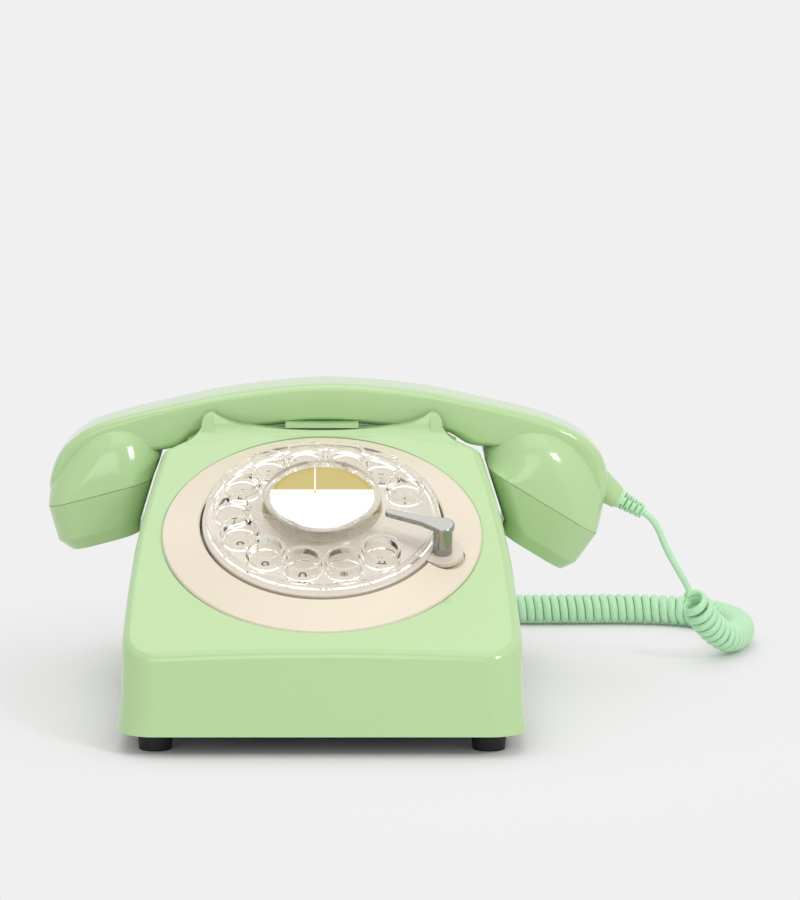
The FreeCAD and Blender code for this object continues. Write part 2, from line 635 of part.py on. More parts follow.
def dial_frame():
    shape = cylinder(S.frame_diameter / 2, S.frame_thickness, Vector(0, 0, frame_low))
    shape = shape.fuse(cylinder(7.0, float(S.bezel_rise) - 1.0 - frame_top, Vector(0, 0, frame_top)))
    post_top = (S.bezel_rise - S.plate_thickness).number
    for angle in (60.0, 180.0, 300.0):
        shape = shape.fuse(cylinder(2.5, post_top - frame_top, turned(28.0, angle, frame_top)))
    for angle in PILLAR_ANGLES:
        shape = shape.fuse(cylinder(2.5, frame_low - bridge_top, turned(pillar_radius, angle, bridge_top)))
    shape = shape.cut(cylinder(float(S.spindle_diameter) / 2 + journal_gap, 60, Vector(0, 0, -40)))
    for place in (pulse_place, governor_place):
        shape = shape.cut(cylinder(pivot + journal_gap, 20, place + Vector(0, 0, frame_low - 1)))
    return shape.removeSplitter()


def rear_bridge():
    shape = cylinder(S.bridge_diameter / 2, S.frame_thickness, Vector(0, 0, bridge_low))
    for place in (Vector(0, 0, 0), pulse_place, governor_place):
        shape = shape.cut(cylinder(pivot + journal_gap, 20, place + Vector(0, 0, bridge_low - 5)))
    return shape


def main_spindle():
    radius = S.spindle_diameter / 2
    bottom, shoulder = bridge_low - 0.5, bridge_top + 0.4
    turning("main_spindle", [(0, bottom), (pivot, bottom), (pivot, shoulder), (radius, shoulder),
                             (radius, S.hub_top - S.hub_rim), (0, S.hub_top - S.hub_rim)], dial)


def main_gear():
    shape = gear(S.main_teeth, S.gear_module, gear_low, gear_high, float(S.pulse_angle))
    shape = shape.fuse(cylinder(6.0, gear_low - fine_low, Vector(0, 0, fine_low)))
    for angle in range(0, 360, 60):
        shape = shape.cut(cylinder(3.5, 20, turned(11.5, angle + 30, -40 + 15)))
    return shape.cut(cylinder(S.spindle_diameter / 2, 60, Vector(0, 0, -50)))


def pulse_gear():
    """The shaft with the pinion, the fine gear and the two-lobed cam."""
    facing = float(S.pulse_angle) + 180.0
    half_tooth = 180.0 / int(float(S.pinion_teeth))
    shape = gear(S.pinion_teeth, S.gear_module, gear_low - 0.6, gear_high + 0.6, facing + half_tooth)
    shape = shape.fuse(gear(S.pulse_teeth, S.fine_module, fine_low, fine_high, float(S.governor_angle)))
    cam_low = fine_low - 3.4
    for angle in (0, 180):
        shape = shape.fuse(cylinder(3.6, 2.4, turned(2.0, angle, cam_low)))
    shape = shape.fuse(cylinder(2.6, gear_high + 2.6 - bridge_top - 0.4, Vector(0, 0, bridge_top + 0.4)))
    shaft = cylinder(pivot, frame_top - bridge_low, Vector(0, 0, bridge_low))
    return shape.fuse(shaft).translated(pulse_place).removeSplitter()


def governor():
    """The fast shaft with its pinion and two swinging weights."""
    half_tooth = 180.0 / int(float(S.governor_teeth))
    facing = float(S.governor_angle) + 180.0
    shape = gear(S.governor_teeth, S.fine_module, fine_low - 0.6, fine_high + 0.6, facing + half_tooth)
    weight_low = bridge_top + 2.0
    for angle in (0, 180):
        shape = shape.fuse(cylinder(2.6, 3.0, turned(4.2, angle, weight_low)))
    shape = shape.fuse(box((-4.2, -1.0, weight_low), (4.2, 1.0, weight_low + 3.0)))
    shape = shape.fuse(cylinder(2.4, fine_low - weight_low, Vector(0, 0, weight_low)))
    shaft = cylinder(pivot, frame_top - bridge_low, Vector(0, 0, bridge_low))
    return shape.fuse(shaft).translated(governor_place).removeSplitter()


def governor_cup():
    cup = cylinder(9.2, 6.0, governor_place + Vector(0, 0, bridge_top))
    cup = cup.cut(cylinder(7.8, 6.0, governor_place + Vector(0, 0, bridge_top + 0.8)))
    return cup.cut(cylinder(pivot + journal_gap, 20, governor_place + Vector(0, 0, bridge_top - 5)))


def impulse_contacts():
    """Two leaf springs on an insulated block beside the cam."""
    cam_low = fine_low - 3.4
    offset = 7.0
    centre_x, centre_y = pulse_place.x, pulse_place.y
    shape = box((centre_x - 22, centre_y + offset, bridge_top),
                (centre_x - 14, centre_y + offset + 6, cam_low))
    for y in (offset + 0.6, offset + 4.0):
        shape = shape.fuse(box((centre_x - 20, centre_y + y, cam_low),
                               (centre_x + 6, centre_y + y + 0.5, cam_low + 2.4)))
    return shape


def return_spring():
    """A flat spiral of half circles round the spindle, between frame and main gear."""
    width, strip = 2.2, 0.5
    low = frame_low - 3.2
    first, grow = 4.6, 1.1
    outlines = []
    for offset in (0.0, strip):
        arcs, centre, radius, sign = [], 0.0, first + offset, 1
        for _ in range(10):
            begin = Vector(centre + sign * radius, 0, low)
            end = Vector(centre - sign * radius, 0, low)
            arcs.append(Part.Arc(begin, Vector(centre, sign * radius, low), end).toShape())
            centre, radius, sign = centre + sign * grow / 2, radius + grow / 2, -sign
        outlines.append(arcs)
    inner, outer = outlines
    ends = [Part.LineSegment(inner[0].firstVertex().Point, outer[0].firstVertex().Point).toShape(),
            Part.LineSegment(inner[-1].lastVertex().Point, outer[-1].lastVertex().Point).toShape()]
    face = Part.Face(Part.Wire(Part.sortEdges(inner + outer + ends)[0]))
    return face.extrude(Vector(0, 0, width))


# Hook switch
def hook_plunger():
    wide, deep, thick, top = S.plunger_width, S.plunger_depth, S.plunger_thickness, S.plunger_top
    y = float(S.channel_front_y) + float(S.channel_width) / 2
    plate = box((-float(wide) / 2, y - float(deep) / 2, (top - thick).number),
                (float(wide) / 2, y + float(deep) / 2, top))
    plate = plate.makeFillet(0.8, [e for e in plate.Edges if e.BoundBox.ZMin > float(top) - 0.1])
    half = float(S.stem_size) / 2
    stem = box((-half, y - half, 86.0), (half, y + half, (top - thick).number))
    front = float(S.cradle_front_y)
    tongue = box((-14.5, front + 6.4, 103.75), (14.5, front + 14.0, 105.6))
    web = box((-14.5, front + 13.2, 102.8), (14.5, y - float(deep) / 2 + 0.5, top))
    return plate.fuse(stem).fuse(tongue).fuse(web).removeSplitter()


def hook_bracket():
    """A folded strap under the channel that carries the switch and the spring."""
    y = float(S.channel_front_y) + float(S.channel_width) / 2
    under = float(S.seat_height) - float(S.body_wall)
    shape = box((-13, y - 6, under - 26), (13, y + 6, under - 24.5))
    for x in (-13, 11.5):
        shape = shape.fuse(box((x, y - 6, under - 26), (x + 1.5, y + 6, under)))
    return shape.removeSplitter()


def hook_switch():
    y = float(S.channel_front_y) + float(S.channel_width) / 2
    under = float(S.seat_height) - float(S.body_wall)
    body = box((4.4, y - 5, under - 24.5), (11.5, y + 5, under - 8))
    return body.fuse(cylinder(1.2, 1.5, Vector(7.0, y, under - 8)))


def hook_spring():
    """A coil between the bracket and the foot of the stem."""
    y = float(S.channel_front_y) + float(S.channel_width) / 2
    low = float(S.seat_height) - float(S.body_wall) - 24.5
    wire, mean = 0.7, 2.6
    height = 86.0 - low
    turns = 5
    pitch = (height - wire - 0.1) / turns
    helix = Part.makeHelix(pitch, pitch * turns, mean)
    profile = Part.Wire(Part.makeCircle(wire / 2, Vector(mean, 0, 0), Vector(0, 1, 0)))
    coil = Part.Wire(helix).makePipeShell([profile], True, True)
    return coil.translated(Vector(0, y, low + wire / 2 + 0.05))


# Ringer
def gong_shape(side):
    outer, wall = float(S.gong_diameter) / 2, float(S.gong_wall)
    top, tall = float(S.gong_top), float(S.gong_height)
    rim = top - tall
    outer_middle = Vector(outer * 0.86, 0, rim + tall * 0.66)
    curve = Part.Arc(Vector(outer, 0, rim), outer_middle, Vector(6, 0, top))
    inner_middle = Vector(outer * 0.86 - wall, 0, rim + tall * 0.66 - wall * 0.6)
    inner = Part.Arc(Vector(6, 0, top - wall), inner_middle, Vector(outer - wall, 0, rim))
    edges = [curve.toShape(), Part.LineSegment(Vector(6, 0, top), Vector(2.0, 0, top)).toShape(),
             Part.LineSegment(Vector(2.0, 0, top), Vector(2.0, 0, top - wall)).toShape(),
             Part.LineSegment(Vector(2.0, 0, top - wall), Vector(6, 0, top - wall)).toShape(),
             inner.toShape(),
             Part.LineSegment(Vector(outer - wall, 0, rim), Vector(outer, 0, rim)).toShape()]
    face = Part.Face(Part.Wire(Part.sortEdges(edges)[0]))
    gong = face.revolve(Vector(0, 0, 0), Vector(0, 0, 1), 360)
    return gong.translated(Vector(side * float(S.gong_spacing) / 2, float(S.gong_y), 0))


def gong_posts():
    floor = float(S.foot_height) + float(S.base_thickness)
    top = float(S.gong_top)
    posts = []
    for side in (-1, 1):
        place = Vector(side * float(S.gong_spacing) / 2, float(S.gong_y), floor)
        post = cylinder(4.0, top - float(S.gong_wall) - floor, place)
        post = post.fuse(cylinder(2.0, top - floor, place))
        posts.append(post.fuse(cylinder(3.5, 1.6, place + Vector(0, 0, top - floor))).removeSplitter())
    return Part.makeCompound(posts)


def ringer_coil():
    """Two bobbins on a yoke with the clapper's pivot post."""
    floor = float(S.foot_height) + float(S.base_thickness)
    y = float(S.gong_y) - 38.0
    shape = box((-22, y - 9, floor), (22, y + 9, floor + 3))
    for x in (-13, 13):
        shape = shape.fuse(cylinder(7.5, 14, Vector(x, y, floor + 3)))
        shape = shape.fuse(cylinder(8.5, 1.5, Vector(x, y, floor + 17)))
        shape = shape.fuse(cylinder(3.0, 2.5, Vector(x, y, floor + 18.5)))
    return shape.fuse(cylinder(2.0, 23.0, Vector(0, y, floor + 3))).removeSplitter()


def clapper():
    """The armature on its pivot, with the rod and ball that swing between the gongs."""
    floor = float(S.foot_height) + float(S.base_thickness)
    y, high = float(S.gong_y) - 38.0, floor + 22.0
    ball_z = high + 1.5
    shape = box((-20, y - 3.5, high), (20, y + 3.5, high + 2.5))
    shape = shape.fuse(box((-1.2, y, high), (1.2, float(S.gong_y), high + 2.5)))
    shape = shape.fuse(Part.makeSphere(3.2, Vector(0, float(S.gong_y), ball_z)))
    return shape.cut(cylinder(2.0 + journal_gap, 40, Vector(0, y, floor))).removeSplitter()


# Handset: each station gives the outer and inner point of a section in the XZ plane
EAR_PARTING = ((-109.8, 71.8), (-68.0, 82.8))
MOUTH_PARTING = ((110.6, 60.6), (66.6, 87.4))
# What each cap loses at its outer and inner end over its depth
EAR_TAPER = (-0.2, 9.2)
MOUTH_TAPER = (0.5, 17.2)
STATIONS = [
    (*EAR_PARTING, 1.0, 10.0), ((-108.9, 82.0), (-66.6, 87.0), 1.0, 15.0),
    ((-103.2, 91.2), (-64.0, 92.0), 0.99, 19.0), ((-93.6, 99.8), (-60.6, 96.4), 0.91, 18.0),
    ((-80.0, 106.8), (-55.4, 99.4), 0.725, 10.0), ((-62.0, 112.3), (-47.4, 101.9), 0.69, 7.0),
    ((-36.0, 117.6), (-31.5, 103.6), 0.685, 6.2), ((1.0, 121.4), (1.0, 104.9), 0.68, 6.0),
    ((38.0, 118.4), (34.0, 103.6), 0.685, 6.2), ((65.0, 112.9), (49.4, 101.6), 0.69, 7.0),
    ((84.0, 107.4), (57.4, 98.2), 0.735, 10.0), ((98.8, 100.2), (61.8, 94.4), 0.92, 18.0),
    ((110.2, 89.6), (64.8, 91.2), 0.99, 19.0), ((116.6, 76.0), (66.4, 88.9), 1.0, 15.0),
    (*MOUTH_PARTING, 1.0, 10.0)]


def section(outer, inner, depth, radius, inset=0.0, centre=None):
    """A rounded rectangle across the handset, spanned by the two points and the depth."""
    y = float(S.handset_y) if centre is None else centre
    a, b = Vector(outer[0], y, outer[1]), Vector(inner[0], y, inner[1])
    across = (b - a).normalize()
    deep = Vector(0, 1, 0)
    middle = (a + b) * 0.5
    half, half_deep = (b - a).Length / 2 - inset, depth / 2 - inset
    radius = max(min(radius - inset, half - 0.6, half_deep - 0.6), 0.6)
    edges = []
    for sa, sd in ((1, 1), (-1, 1), (-1, -1), (1, -1)):
        corner = middle + across * (sa * (half - radius)) + deep * (sd * (half_deep - radius))
        first, last = across * (sa * radius), deep * (sd * radius)
        if sa * sd < 0:
            first, last = last, first
        halfway = (first + last) * (1 / math.sqrt(2))
        edges.append(Part.Arc(corner + first, corner + halfway, corner + last).toShape())
    sides = []
    for i in range(4):
        start, end = edges[i].lastVertex().Point, edges[(i + 1) % 4].firstVertex().Point
        sides += [edges[i], Part.LineSegment(start, end).toShape()]
    return Part.Wire(sides)


def shifted(pair, normal, distance):
    return [(point[0] + normal[0] * distance, point[1] + normal[1] * distance) for point in pair]


def parting_normal(pair):
    """The unit vector out of the handset's mouth or ear, in the XZ plane."""
    dx, dz = pair[1][0] - pair[0][0], pair[1][1] - pair[0][1]
    length = math.hypot(dx, dz)
    normal = (dz / length, -dx / length)
    return normal if normal[1] < 0 else (-normal[0], -normal[1])


def handset_shell():
    depth = float(S.cup_depth)
    shell = Part.makeLoft([section(a, b, share * depth, r) for a, b, share, r in STATIONS], True, False)
    wall = float(S.handset_wall)
    exit_point, direction = relief_axis()
    thin = float(S.relief_diameter) / 2 + 0.5
    shell = shell.fuse(Part.makeCone(thin, 2.4 * thin, 14.0, exit_point, -direction))
    for pair, stations in ((EAR_PARTING, STATIONS[:4]), (MOUTH_PARTING, STATIONS[:-5:-1])):
        normal = parting_normal(pair)
        mouth = shifted(pair, normal, 1.0)
        wires = [section(mouth[0], mouth[1], depth, 10.0, wall)]
        wires += [section(a, b, share * depth, r, wall) for a, b, share, r in stations[:3]]
        roof_outer, roof_inner, share, radius = stations[3]
        wires.append(section(roof_outer, roof_inner, share * depth, radius, wall + 3.0))
        shell = shell.cut(Part.makeLoft(wires, True, False))
    shell = shell.cut(cylinder(S.relief_diameter / 2 - 1.4, 30.0, exit_point - direction * 20.0, direction))
    return shell.removeSplitter()


def cap_shape(pair, narrow, step, holes):
    """A cap that tapers from the parting line to its pierced face."""
    depth = float(S.cup_depth)
    normal = parting_normal(pair)
    wall = float(S.handset_wall)

    def drawn(distance, lose_outer, lose_inner):
        moved = shifted(pair, normal, distance)
        dx, dz = pair[1][0] - pair[0][0], pair[1][1] - pair[0][1]
        length = math.hypot(dx, dz)
        ux, uz = dx / length, dz / length
        return ((moved[0][0] + ux * lose_outer, moved[0][1] + uz * lose_outer),
                (moved[1][0] - ux * lose_inner, moved[1][1] - uz * lose_inner))

    first, second = float(S.cap_depth), float(S.cap_depth) + float(S.cap_face)
    lower, face = drawn(first, *narrow), drawn(second, *step)
    groove = float(S.groove)
    top_edge, under_edge = drawn(0, 0, 0), drawn(groove, 0, 0)
    neck = [section(*top_edge, depth, 10.0, groove), section(*under_edge, depth, 10.0, groove)]
    skirt = [section(*under_edge, depth, 10.0), section(*lower, depth - 7, 10.0)]
    outer = Part.makeLoft(skirt, True, True).fuse(Part.makeLoft(neck, True, True))
    nose = Part.makeLoft([section(*lower, depth - 7, 10.0), section(*face, depth - 12, 9.0)], True, True)
    top, bottom = drawn(-1.0, 0, 0), drawn(first + 1.5, *narrow)
    inside = [section(*top, depth, 10.0, wall), section(*bottom, depth - 7, 10.0, wall + 1.2)]
    hollow = Part.makeLoft(inside, True, True)
    shape = outer.fuse(nose).cut(hollow)
    middle = Vector((face[0][0] + face[1][0]) / 2, float(S.handset_y), (face[0][1] + face[1][1]) / 2)
    out = Vector(normal[0], 0, normal[1])
    side = out.cross(Vector(0, 1, 0))
    spots = [Vector(0, 0, 0)]
    for k in range(6):
        angle = k * math.pi / 3
        spots.append(side * (holes * math.cos(angle)) + Vector(0, holes * math.sin(angle), 0))
    for spot in spots:
        shape = shape.cut(cylinder(1.2, 12, middle + spot - out * 8, out))
    return shape.removeSplitter()


def capsule(pair, narrow, tall):
    """A round capsule that stands on the inside of its cap."""
    normal = parting_normal(pair)
    outer, inner = (Vector(point[0], float(S.handset_y), point[1]) for point in pair)
    out = Vector(normal[0], 0, normal[1])
    aside = (outer - inner).normalize() * ((narrow[1] - narrow[0]) / 2)
    base = (outer + inner) * 0.5 + aside + out * (float(S.cap_depth) + 1.5)
    shape = cylinder(S.capsule_diameter / 2, tall, base, -out)
    return shape.fuse(cylinder(S.capsule_diameter / 2 - 4, tall + 2, base, -out)).removeSplitter()


def handset_weight():
    """A steel bar under the roof of the ear cup's hollow."""
    return box((-85.0, float(S.handset_y) - 10, 95.0), (-70.5, float(S.handset_y) + 10, 97.1))


def relief_axis():
    """The relief's free end and its direction."""
    start, after = Vector(*LEAD_ROUTE[0]), Vector(*LEAD_ROUTE[1])
    direction = (after - start).normalize()
    return start - direction * (float(S.relief_length) + 0.3), direction


def strain_relief():
    """A tapered sleeve with staggered slots."""
    root, direction = relief_axis()
    long, thick = float(S.relief_length), float(S.relief_diameter) / 2
    shape = Part.makeCone(thick, thick * 0.72, long, Vector(0, 0, 0), Vector(0, 0, 1))
    for i in range(4):
        z = 1.8 + i * 2.4
        for side in (0, 90):
            cut = box((1.6, -5, z + side / 75.0), (6, 5, z + 0.9 + side / 75.0))
            for turn in (side, side + 180):
                shape = shape.cut(cut.rotated(Vector(0, 0, 0), Vector(0, 0, 1), turn))
    shape = shape.fuse(cylinder(thick - 1.8, 7.0, Vector(0, 0, -7.0)))
    shape.Placement = Placement(root, Rotation(Vector(0, 0, 1), direction))
    return shape


# Cord
def rounded_route(points):
    """Straight runs joined by the largest tangent arcs that the runs allow; returns wire and radii."""
    corners = [Vector(*p) for p in points]
    edges, radii, last = [], [], corners[0]
    for i in range(1, len(corners) - 1):
        before, after = corners[i] - corners[i - 1], corners[i + 1] - corners[i]
        turn = before.getAngle(after)
        trim = 0.45 * min(before.Length, after.Length)
        radii.append(trim / math.tan(turn / 2))
        before.normalize()
        after.normalize()
        start, end = corners[i] - before * trim, corners[i] + after * trim
        bisector = (after - before).normalize()
        centre = corners[i] + bisector * math.hypot(trim, radii[-1])
        middle = centre - bisector * radii[-1]
        edges.append(Part.LineSegment(last, start).toShape())
        edges.append(Part.Arc(start, middle, end).toShape())
        last = end
    edges.append(Part.LineSegment(last, corners[-1]).toShape())
    return Part.Wire(edges), radii


def tube(wire, diameter):
    start = wire.Edges[0]
    direction = start.tangentAt(start.FirstParameter)
    ring = Part.Wire(Part.makeCircle(diameter / 2, start.valueAt(start.FirstParameter), direction))
    return wire.makePipeShell([ring], True, False)


def plain_cord(label, points):
    wire, radii = rounded_route(points)
    shape = tube(wire, float(S.cord_diameter))
    expected = wire.Length * math.pi * float(S.cord_diameter) ** 2 / 4
    print(label, "radii", [round(r, 1) for r in radii], "volume ratio", round(shape.Volume / expected, 4))
    return shape


def arc_from(start, tangent, end):
    """The arc that leaves the start along the tangent and reaches the end."""
    chord = end - start
    along = Vector(chord).normalize()
    across = tangent - along * tangent.dot(along)
    if across.Length < 1e-6:
        return Part.LineSegment(start, end).toShape()
    bulge = chord.Length / 2 * math.tan(tangent.getAngle(chord) / 2)
    return Part.Arc(start, start + chord * 0.5 + across.normalize() * bulge, end).toShape()


def biarc(start, leaving, end, arriving):
    gap, both = end - start, leaving + arriving
    spread = 2 * (1 - leaving.dot(arriving))
    flat = gap.dot(both)
    if spread < 1e-9:
        reach = gap.dot(gap) / (4 * gap.dot(arriving))
    else:
        reach = (math.sqrt(flat ** 2 + spread * gap.dot(gap)) - flat) / spread
    joint = (start + leaving * reach + end - arriving * reach) * 0.5
    first = arc_from(start, leaving, joint)
    second = arc_from(end, arriving * -1, joint)
    return [first, second]


def curl_points():
    """Points and directions every quarter turn of the curls, easing out of and back into the axis.

    The curls stand further apart where the axis bends, so that they never touch on its inside."""
    wire, _ = rounded_route(COIL_ROUTE)
    full = (float(S.coil_diameter) - float(S.cord_diameter)) / 2
    apart = float(S.cord_diameter) + float(S.curl_gap)
    stations, turned_by, side, angle = [], [], None, 0.0
    for edge in wire.Edges:
        bend = full / edge.Curve.Radius if hasattr(edge.Curve, "Radius") else 0.0
        pitch = apart / (1 - bend)
        count = max(4, int(edge.Length / 0.12))
        for i in range(count):
            parameter = edge.getParameterByLength(edge.Length * (i + 0.5) / count)
            axis = edge.tangentAt(parameter).normalize()
            side = axis.cross(Vector(0, 0, 1)) if side is None else side
            side = (side - axis * side.dot(axis)).normalize()
            angle += 2 * math.pi * edge.Length / count / pitch
            stations.append((edge.valueAt(parameter), side, axis.cross(side)))
            turned_by.append(angle)
    turns = int(angle / (2 * math.pi))
    steps, samples, k = turns * 48, [], 0
    for i in range(steps + 1):
        share = turned_by[0] + (turned_by[-1] - turned_by[0]) * i / steps
        while k < len(stations) - 2 and turned_by[k + 1] < share:
            k += 1
        mix = (share - turned_by[k]) / (turned_by[k + 1] - turned_by[k])
        point, across, up = (a * (1 - mix) + b * mix for a, b in zip(stations[k], stations[k + 1]))
        ease = min(1.0, i / 72.0, (steps - i) / 72.0)
        ease = ease * ease * (3 - 2 * ease)
        phase = 2 * math.pi * i / 48
        samples.append(point + (across * math.cos(phase) + up * math.sin(phase)) * (full * ease))
    quarter = []
    for i in range(0, steps + 1, 12):
        low, high = max(i - 1, 0), min(i + 1, steps)
        quarter.append((samples[i], (samples[high] - samples[low]).normalize()))
    return quarter, samples, turns


def handset_cord():
    quarter, samples, turns = curl_points()
    diameter = float(S.cord_diameter)
    edges = []
    first, last = quarter[0], quarter[-1]
    edges.append(Part.LineSegment(first[0] - first[1] * diameter, first[0]).toShape())
    for (start, leaving), (end, arriving) in zip(quarter, quarter[1:]):
        edges += biarc(start, leaving, end, arriving)
    edges.append(Part.LineSegment(last[0], last[0] + last[1] * diameter).toShape())
    shape = tube(Part.Wire(Part.sortEdges(edges)[0]), diameter)
    along = [0.0]
    for before, after in zip(samples, samples[1:]):
        along.append(along[-1] + (after - before).Length)
    apart = min((samples[i] - samples[j]).Length for i in range(0, len(samples), 3)
                for j in range(i + 24, min(i + 120, len(samples)), 2)
                if along[j] - along[i] > 3 * diameter)
    print("curls", turns, "least gap", round(apart - diameter, 2))
    return shape


def cord_ends():
    """The lead's last run and the tail's first, in line with the curls' straight ends."""
    quarter, _, _ = curl_points()
    diameter = float(S.cord_diameter)
    (first, leaving), (last, arriving) = quarter[0], quarter[-1]
    lead = [first - leaving * (diameter + 7.0), first - leaving * diameter]
    tail = [last + arriving * diameter, last + arriving * (diameter + 8.0)]
    return [tuple(v) for v in lead], [tuple(v) for v in tail]


def cord_plug():
    """A clear modular plug in the cord socket."""
    place = socket_places()["cord_socket"]
    back = rear_y - 1.2
    end = TAIL_ROUTE[-1][1]
    shape = box((place.x - 3.9, back - 10, place.z - 3.3), (place.x + 3.9, end, place.z + 3.3))
    latch = box((place.x - 1.6, back - 9, place.z + 3.3), (place.x + 1.6, end - 2, place.z + 4.4))
    return shape.fuse(latch).removeSplitter()


# Assembly
feature("body_cover", body_cover())
feature("base_plate", base_plate())
feature("rubber_feet", rubber_feet())
feature("cover_screws", cover_screws())
for name, spot in socket_places().items():
    feature(name, socket_shape(spot))
feature("socket_bracket", socket_bracket())
feature("circuit_board", circuit_board())
dial_bezel()
dial_plate()
finger_wheel()
hub_pieces()
feature("finger_stop", finger_stop(), dial)
feature("finger_stop_screw", stop_screw(), dial)
feature("dial_frame", dial_frame(), dial)
feature("rear_bridge", rear_bridge(), dial)
main_spindle()
feature("main_gear", main_gear(), dial)
feature("pulse_gear", pulse_gear(), dial)
feature("governor", governor(), dial)
feature("governor_cup", governor_cup(), dial)
feature("impulse_contacts", impulse_contacts(), dial)
feature("return_spring", return_spring(), dial)
feature("hook_plunger", hook_plunger())
feature("hook_bracket", hook_bracket())
feature("hook_switch", hook_switch())
feature("hook_spring", hook_spring())
feature("gong_left", gong_shape(-1))
feature("gong_right", gong_shape(1))
feature("gong_posts", gong_posts())
feature("ringer_coil", ringer_coil())
feature("clapper", clapper())
feature("handset_shell", handset_shell())
feature("ear_cap", cap_shape(EAR_PARTING, EAR_TAPER, (4.0, 11.0), 8.0))
feature("mouth_cap", cap_shape(MOUTH_PARTING, MOUTH_TAPER, (3.5, 19.5), 8.0))
feature("receiver_capsule", capsule(EAR_PARTING, EAR_TAPER, 10.0))
feature("microphone_capsule", capsule(MOUTH_PARTING, MOUTH_TAPER, 9.0))
feature("handset_weight", handset_weight())
feature("strain_relief", strain_relief())
lead_run, tail_run = cord_ends()
feature("handset_lead", plain_cord("handset_lead", LEAD_ROUTE + lead_run))
feature("handset_cord", handset_cord())
feature("cord_tail", plain_cord("cord_tail", tail_run + TAIL_ROUTE))
feature("cord_plug", cord_plug())

doc.recompute()
for obj in doc.Objects:
    if {"Invalid", "Error"} & set(obj.State):
        raise RuntimeError("failed object: " + obj.Label)

# The origin is the middle of the whole object's box, cord left out
CORD = {"handset_lead", "handset_cord", "cord_tail", "cord_plug", "strain_relief"}
whole = FreeCAD.BoundBox()
for obj in parts:
    if obj.Label not in CORD:
        whole.add(obj.Shape.optimalBoundingBox(False, False))
shift = Vector(-(whole.XMin + whole.XMax) / 2, -(whole.YMin + whole.YMax) / 2, -whole.ZMin)
print("shift", shift)
os.makedirs("parts", exist_ok=True)
for obj in parts:
    obj.Placement = Placement(shift, Rotation()) * obj.Placement
doc.recompute()
for obj in parts:
    if obj.Shape.isNull() or not obj.Shape.isValid():
        raise RuntimeError("bad shape: " + obj.Label)
for obj in parts:
    obj.Shape.exportStep("parts/%s.step" % obj.Label)
print(len(parts), "parts")
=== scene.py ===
"""A pale green desk telephone with a rotary dial, on a white sweep."""

import json
import math

import bmesh
import bpy
from mathutils import Matrix, Vector


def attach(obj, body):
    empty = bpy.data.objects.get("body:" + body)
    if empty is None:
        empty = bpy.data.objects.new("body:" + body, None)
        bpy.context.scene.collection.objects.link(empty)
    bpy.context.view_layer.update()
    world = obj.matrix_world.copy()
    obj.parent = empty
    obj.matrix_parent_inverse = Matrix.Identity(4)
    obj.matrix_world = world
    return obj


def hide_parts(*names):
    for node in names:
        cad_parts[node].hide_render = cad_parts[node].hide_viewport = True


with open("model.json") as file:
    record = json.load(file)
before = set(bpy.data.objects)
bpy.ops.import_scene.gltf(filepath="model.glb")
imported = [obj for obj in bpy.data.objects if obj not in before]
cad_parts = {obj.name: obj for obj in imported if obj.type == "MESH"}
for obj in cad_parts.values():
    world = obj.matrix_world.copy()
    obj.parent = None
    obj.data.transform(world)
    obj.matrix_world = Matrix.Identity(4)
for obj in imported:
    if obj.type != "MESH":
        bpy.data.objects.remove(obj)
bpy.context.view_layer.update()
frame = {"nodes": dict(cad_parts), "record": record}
scene = bpy.context.scene
nodes = frame["nodes"]
MM = 0.001

# The part's own frame against the drawing's: everything is shifted by this, in millimetres
SHIFT = Vector((-6.010, -0.006, 0.0))
DIAL_CENTRE = Vector((0.0, -39.5, 72.5))
SLOPE = math.radians(27.75)
# Finger holes: angle of the first and the step to the next, in degrees, and the radius of their circle
HOLE_FIRST, HOLE_STEP, HOLE_RADIUS = 22.0, 26.2, 34.2


def placed(point):
    """A point of the drawing in millimetres as a point of the scene in metres."""
    return (Vector(point) + SHIFT) * MM


def on_dial(x, y, height):
    """A point given across, up the slope and out of it, in millimetres, as a point of the scene."""
    sin, cos = math.sin(SLOPE), math.cos(SLOPE)
    return placed(DIAL_CENTRE + Vector((x, y * cos - height * sin, y * sin + height * cos)))


def linear(code):
    """An sRGB hex colour as linear RGBA."""
    values = [int(code[i:i + 2], 16) / 255 for i in (1, 3, 5)]
    return [v / 12.92 if v <= 0.04045 else ((v + 0.055) / 1.055) ** 2.4 for v in values] + [1.0]


# Materials
def add_node(tree, kind, inputs=None, **settings):
    """A node with its settings; an input that is a socket is linked, any other is written."""
    node = tree.nodes.new(kind)
    for name, value in settings.items():
        setattr(node, name, value)
    for key, value in (inputs or {}).items():
        if isinstance(value, bpy.types.NodeSocket):
            tree.links.new(value, node.inputs[key])
        else:
            node.inputs[key].default_value = value
    return node


def new_material(name, code, roughness, bump_mm=0.0, bump_scale_mm=1.0, **extra):
    """A principled material; extra names are its sockets with spaces as underscores."""
    material = bpy.data.materials.new(name)
    material.use_nodes = True
    tree = material.node_tree
    shader = tree.nodes["Principled BSDF"]
    shader.inputs["Base Color"].default_value = linear(code)
    shader.inputs["Roughness"].default_value = roughness
    for key, value in extra.items():
        shader.inputs[key.replace("_", " ")].default_value = value
    if bump_mm:
        place = add_node(tree, "ShaderNodeTexCoord")
        noise = add_node(tree, "ShaderNodeTexNoise",
                         {"Vector": place.outputs["Object"], "Scale": 1 / (bump_scale_mm * MM), "Detail": 2.0})
        bump = add_node(tree, "ShaderNodeBump",
                        {"Height": noise.outputs["Fac"], "Strength": 1.0, "Distance": bump_mm * MM})
        tree.links.new(bump.outputs["Normal"], shader.inputs["Normal"])
    return material


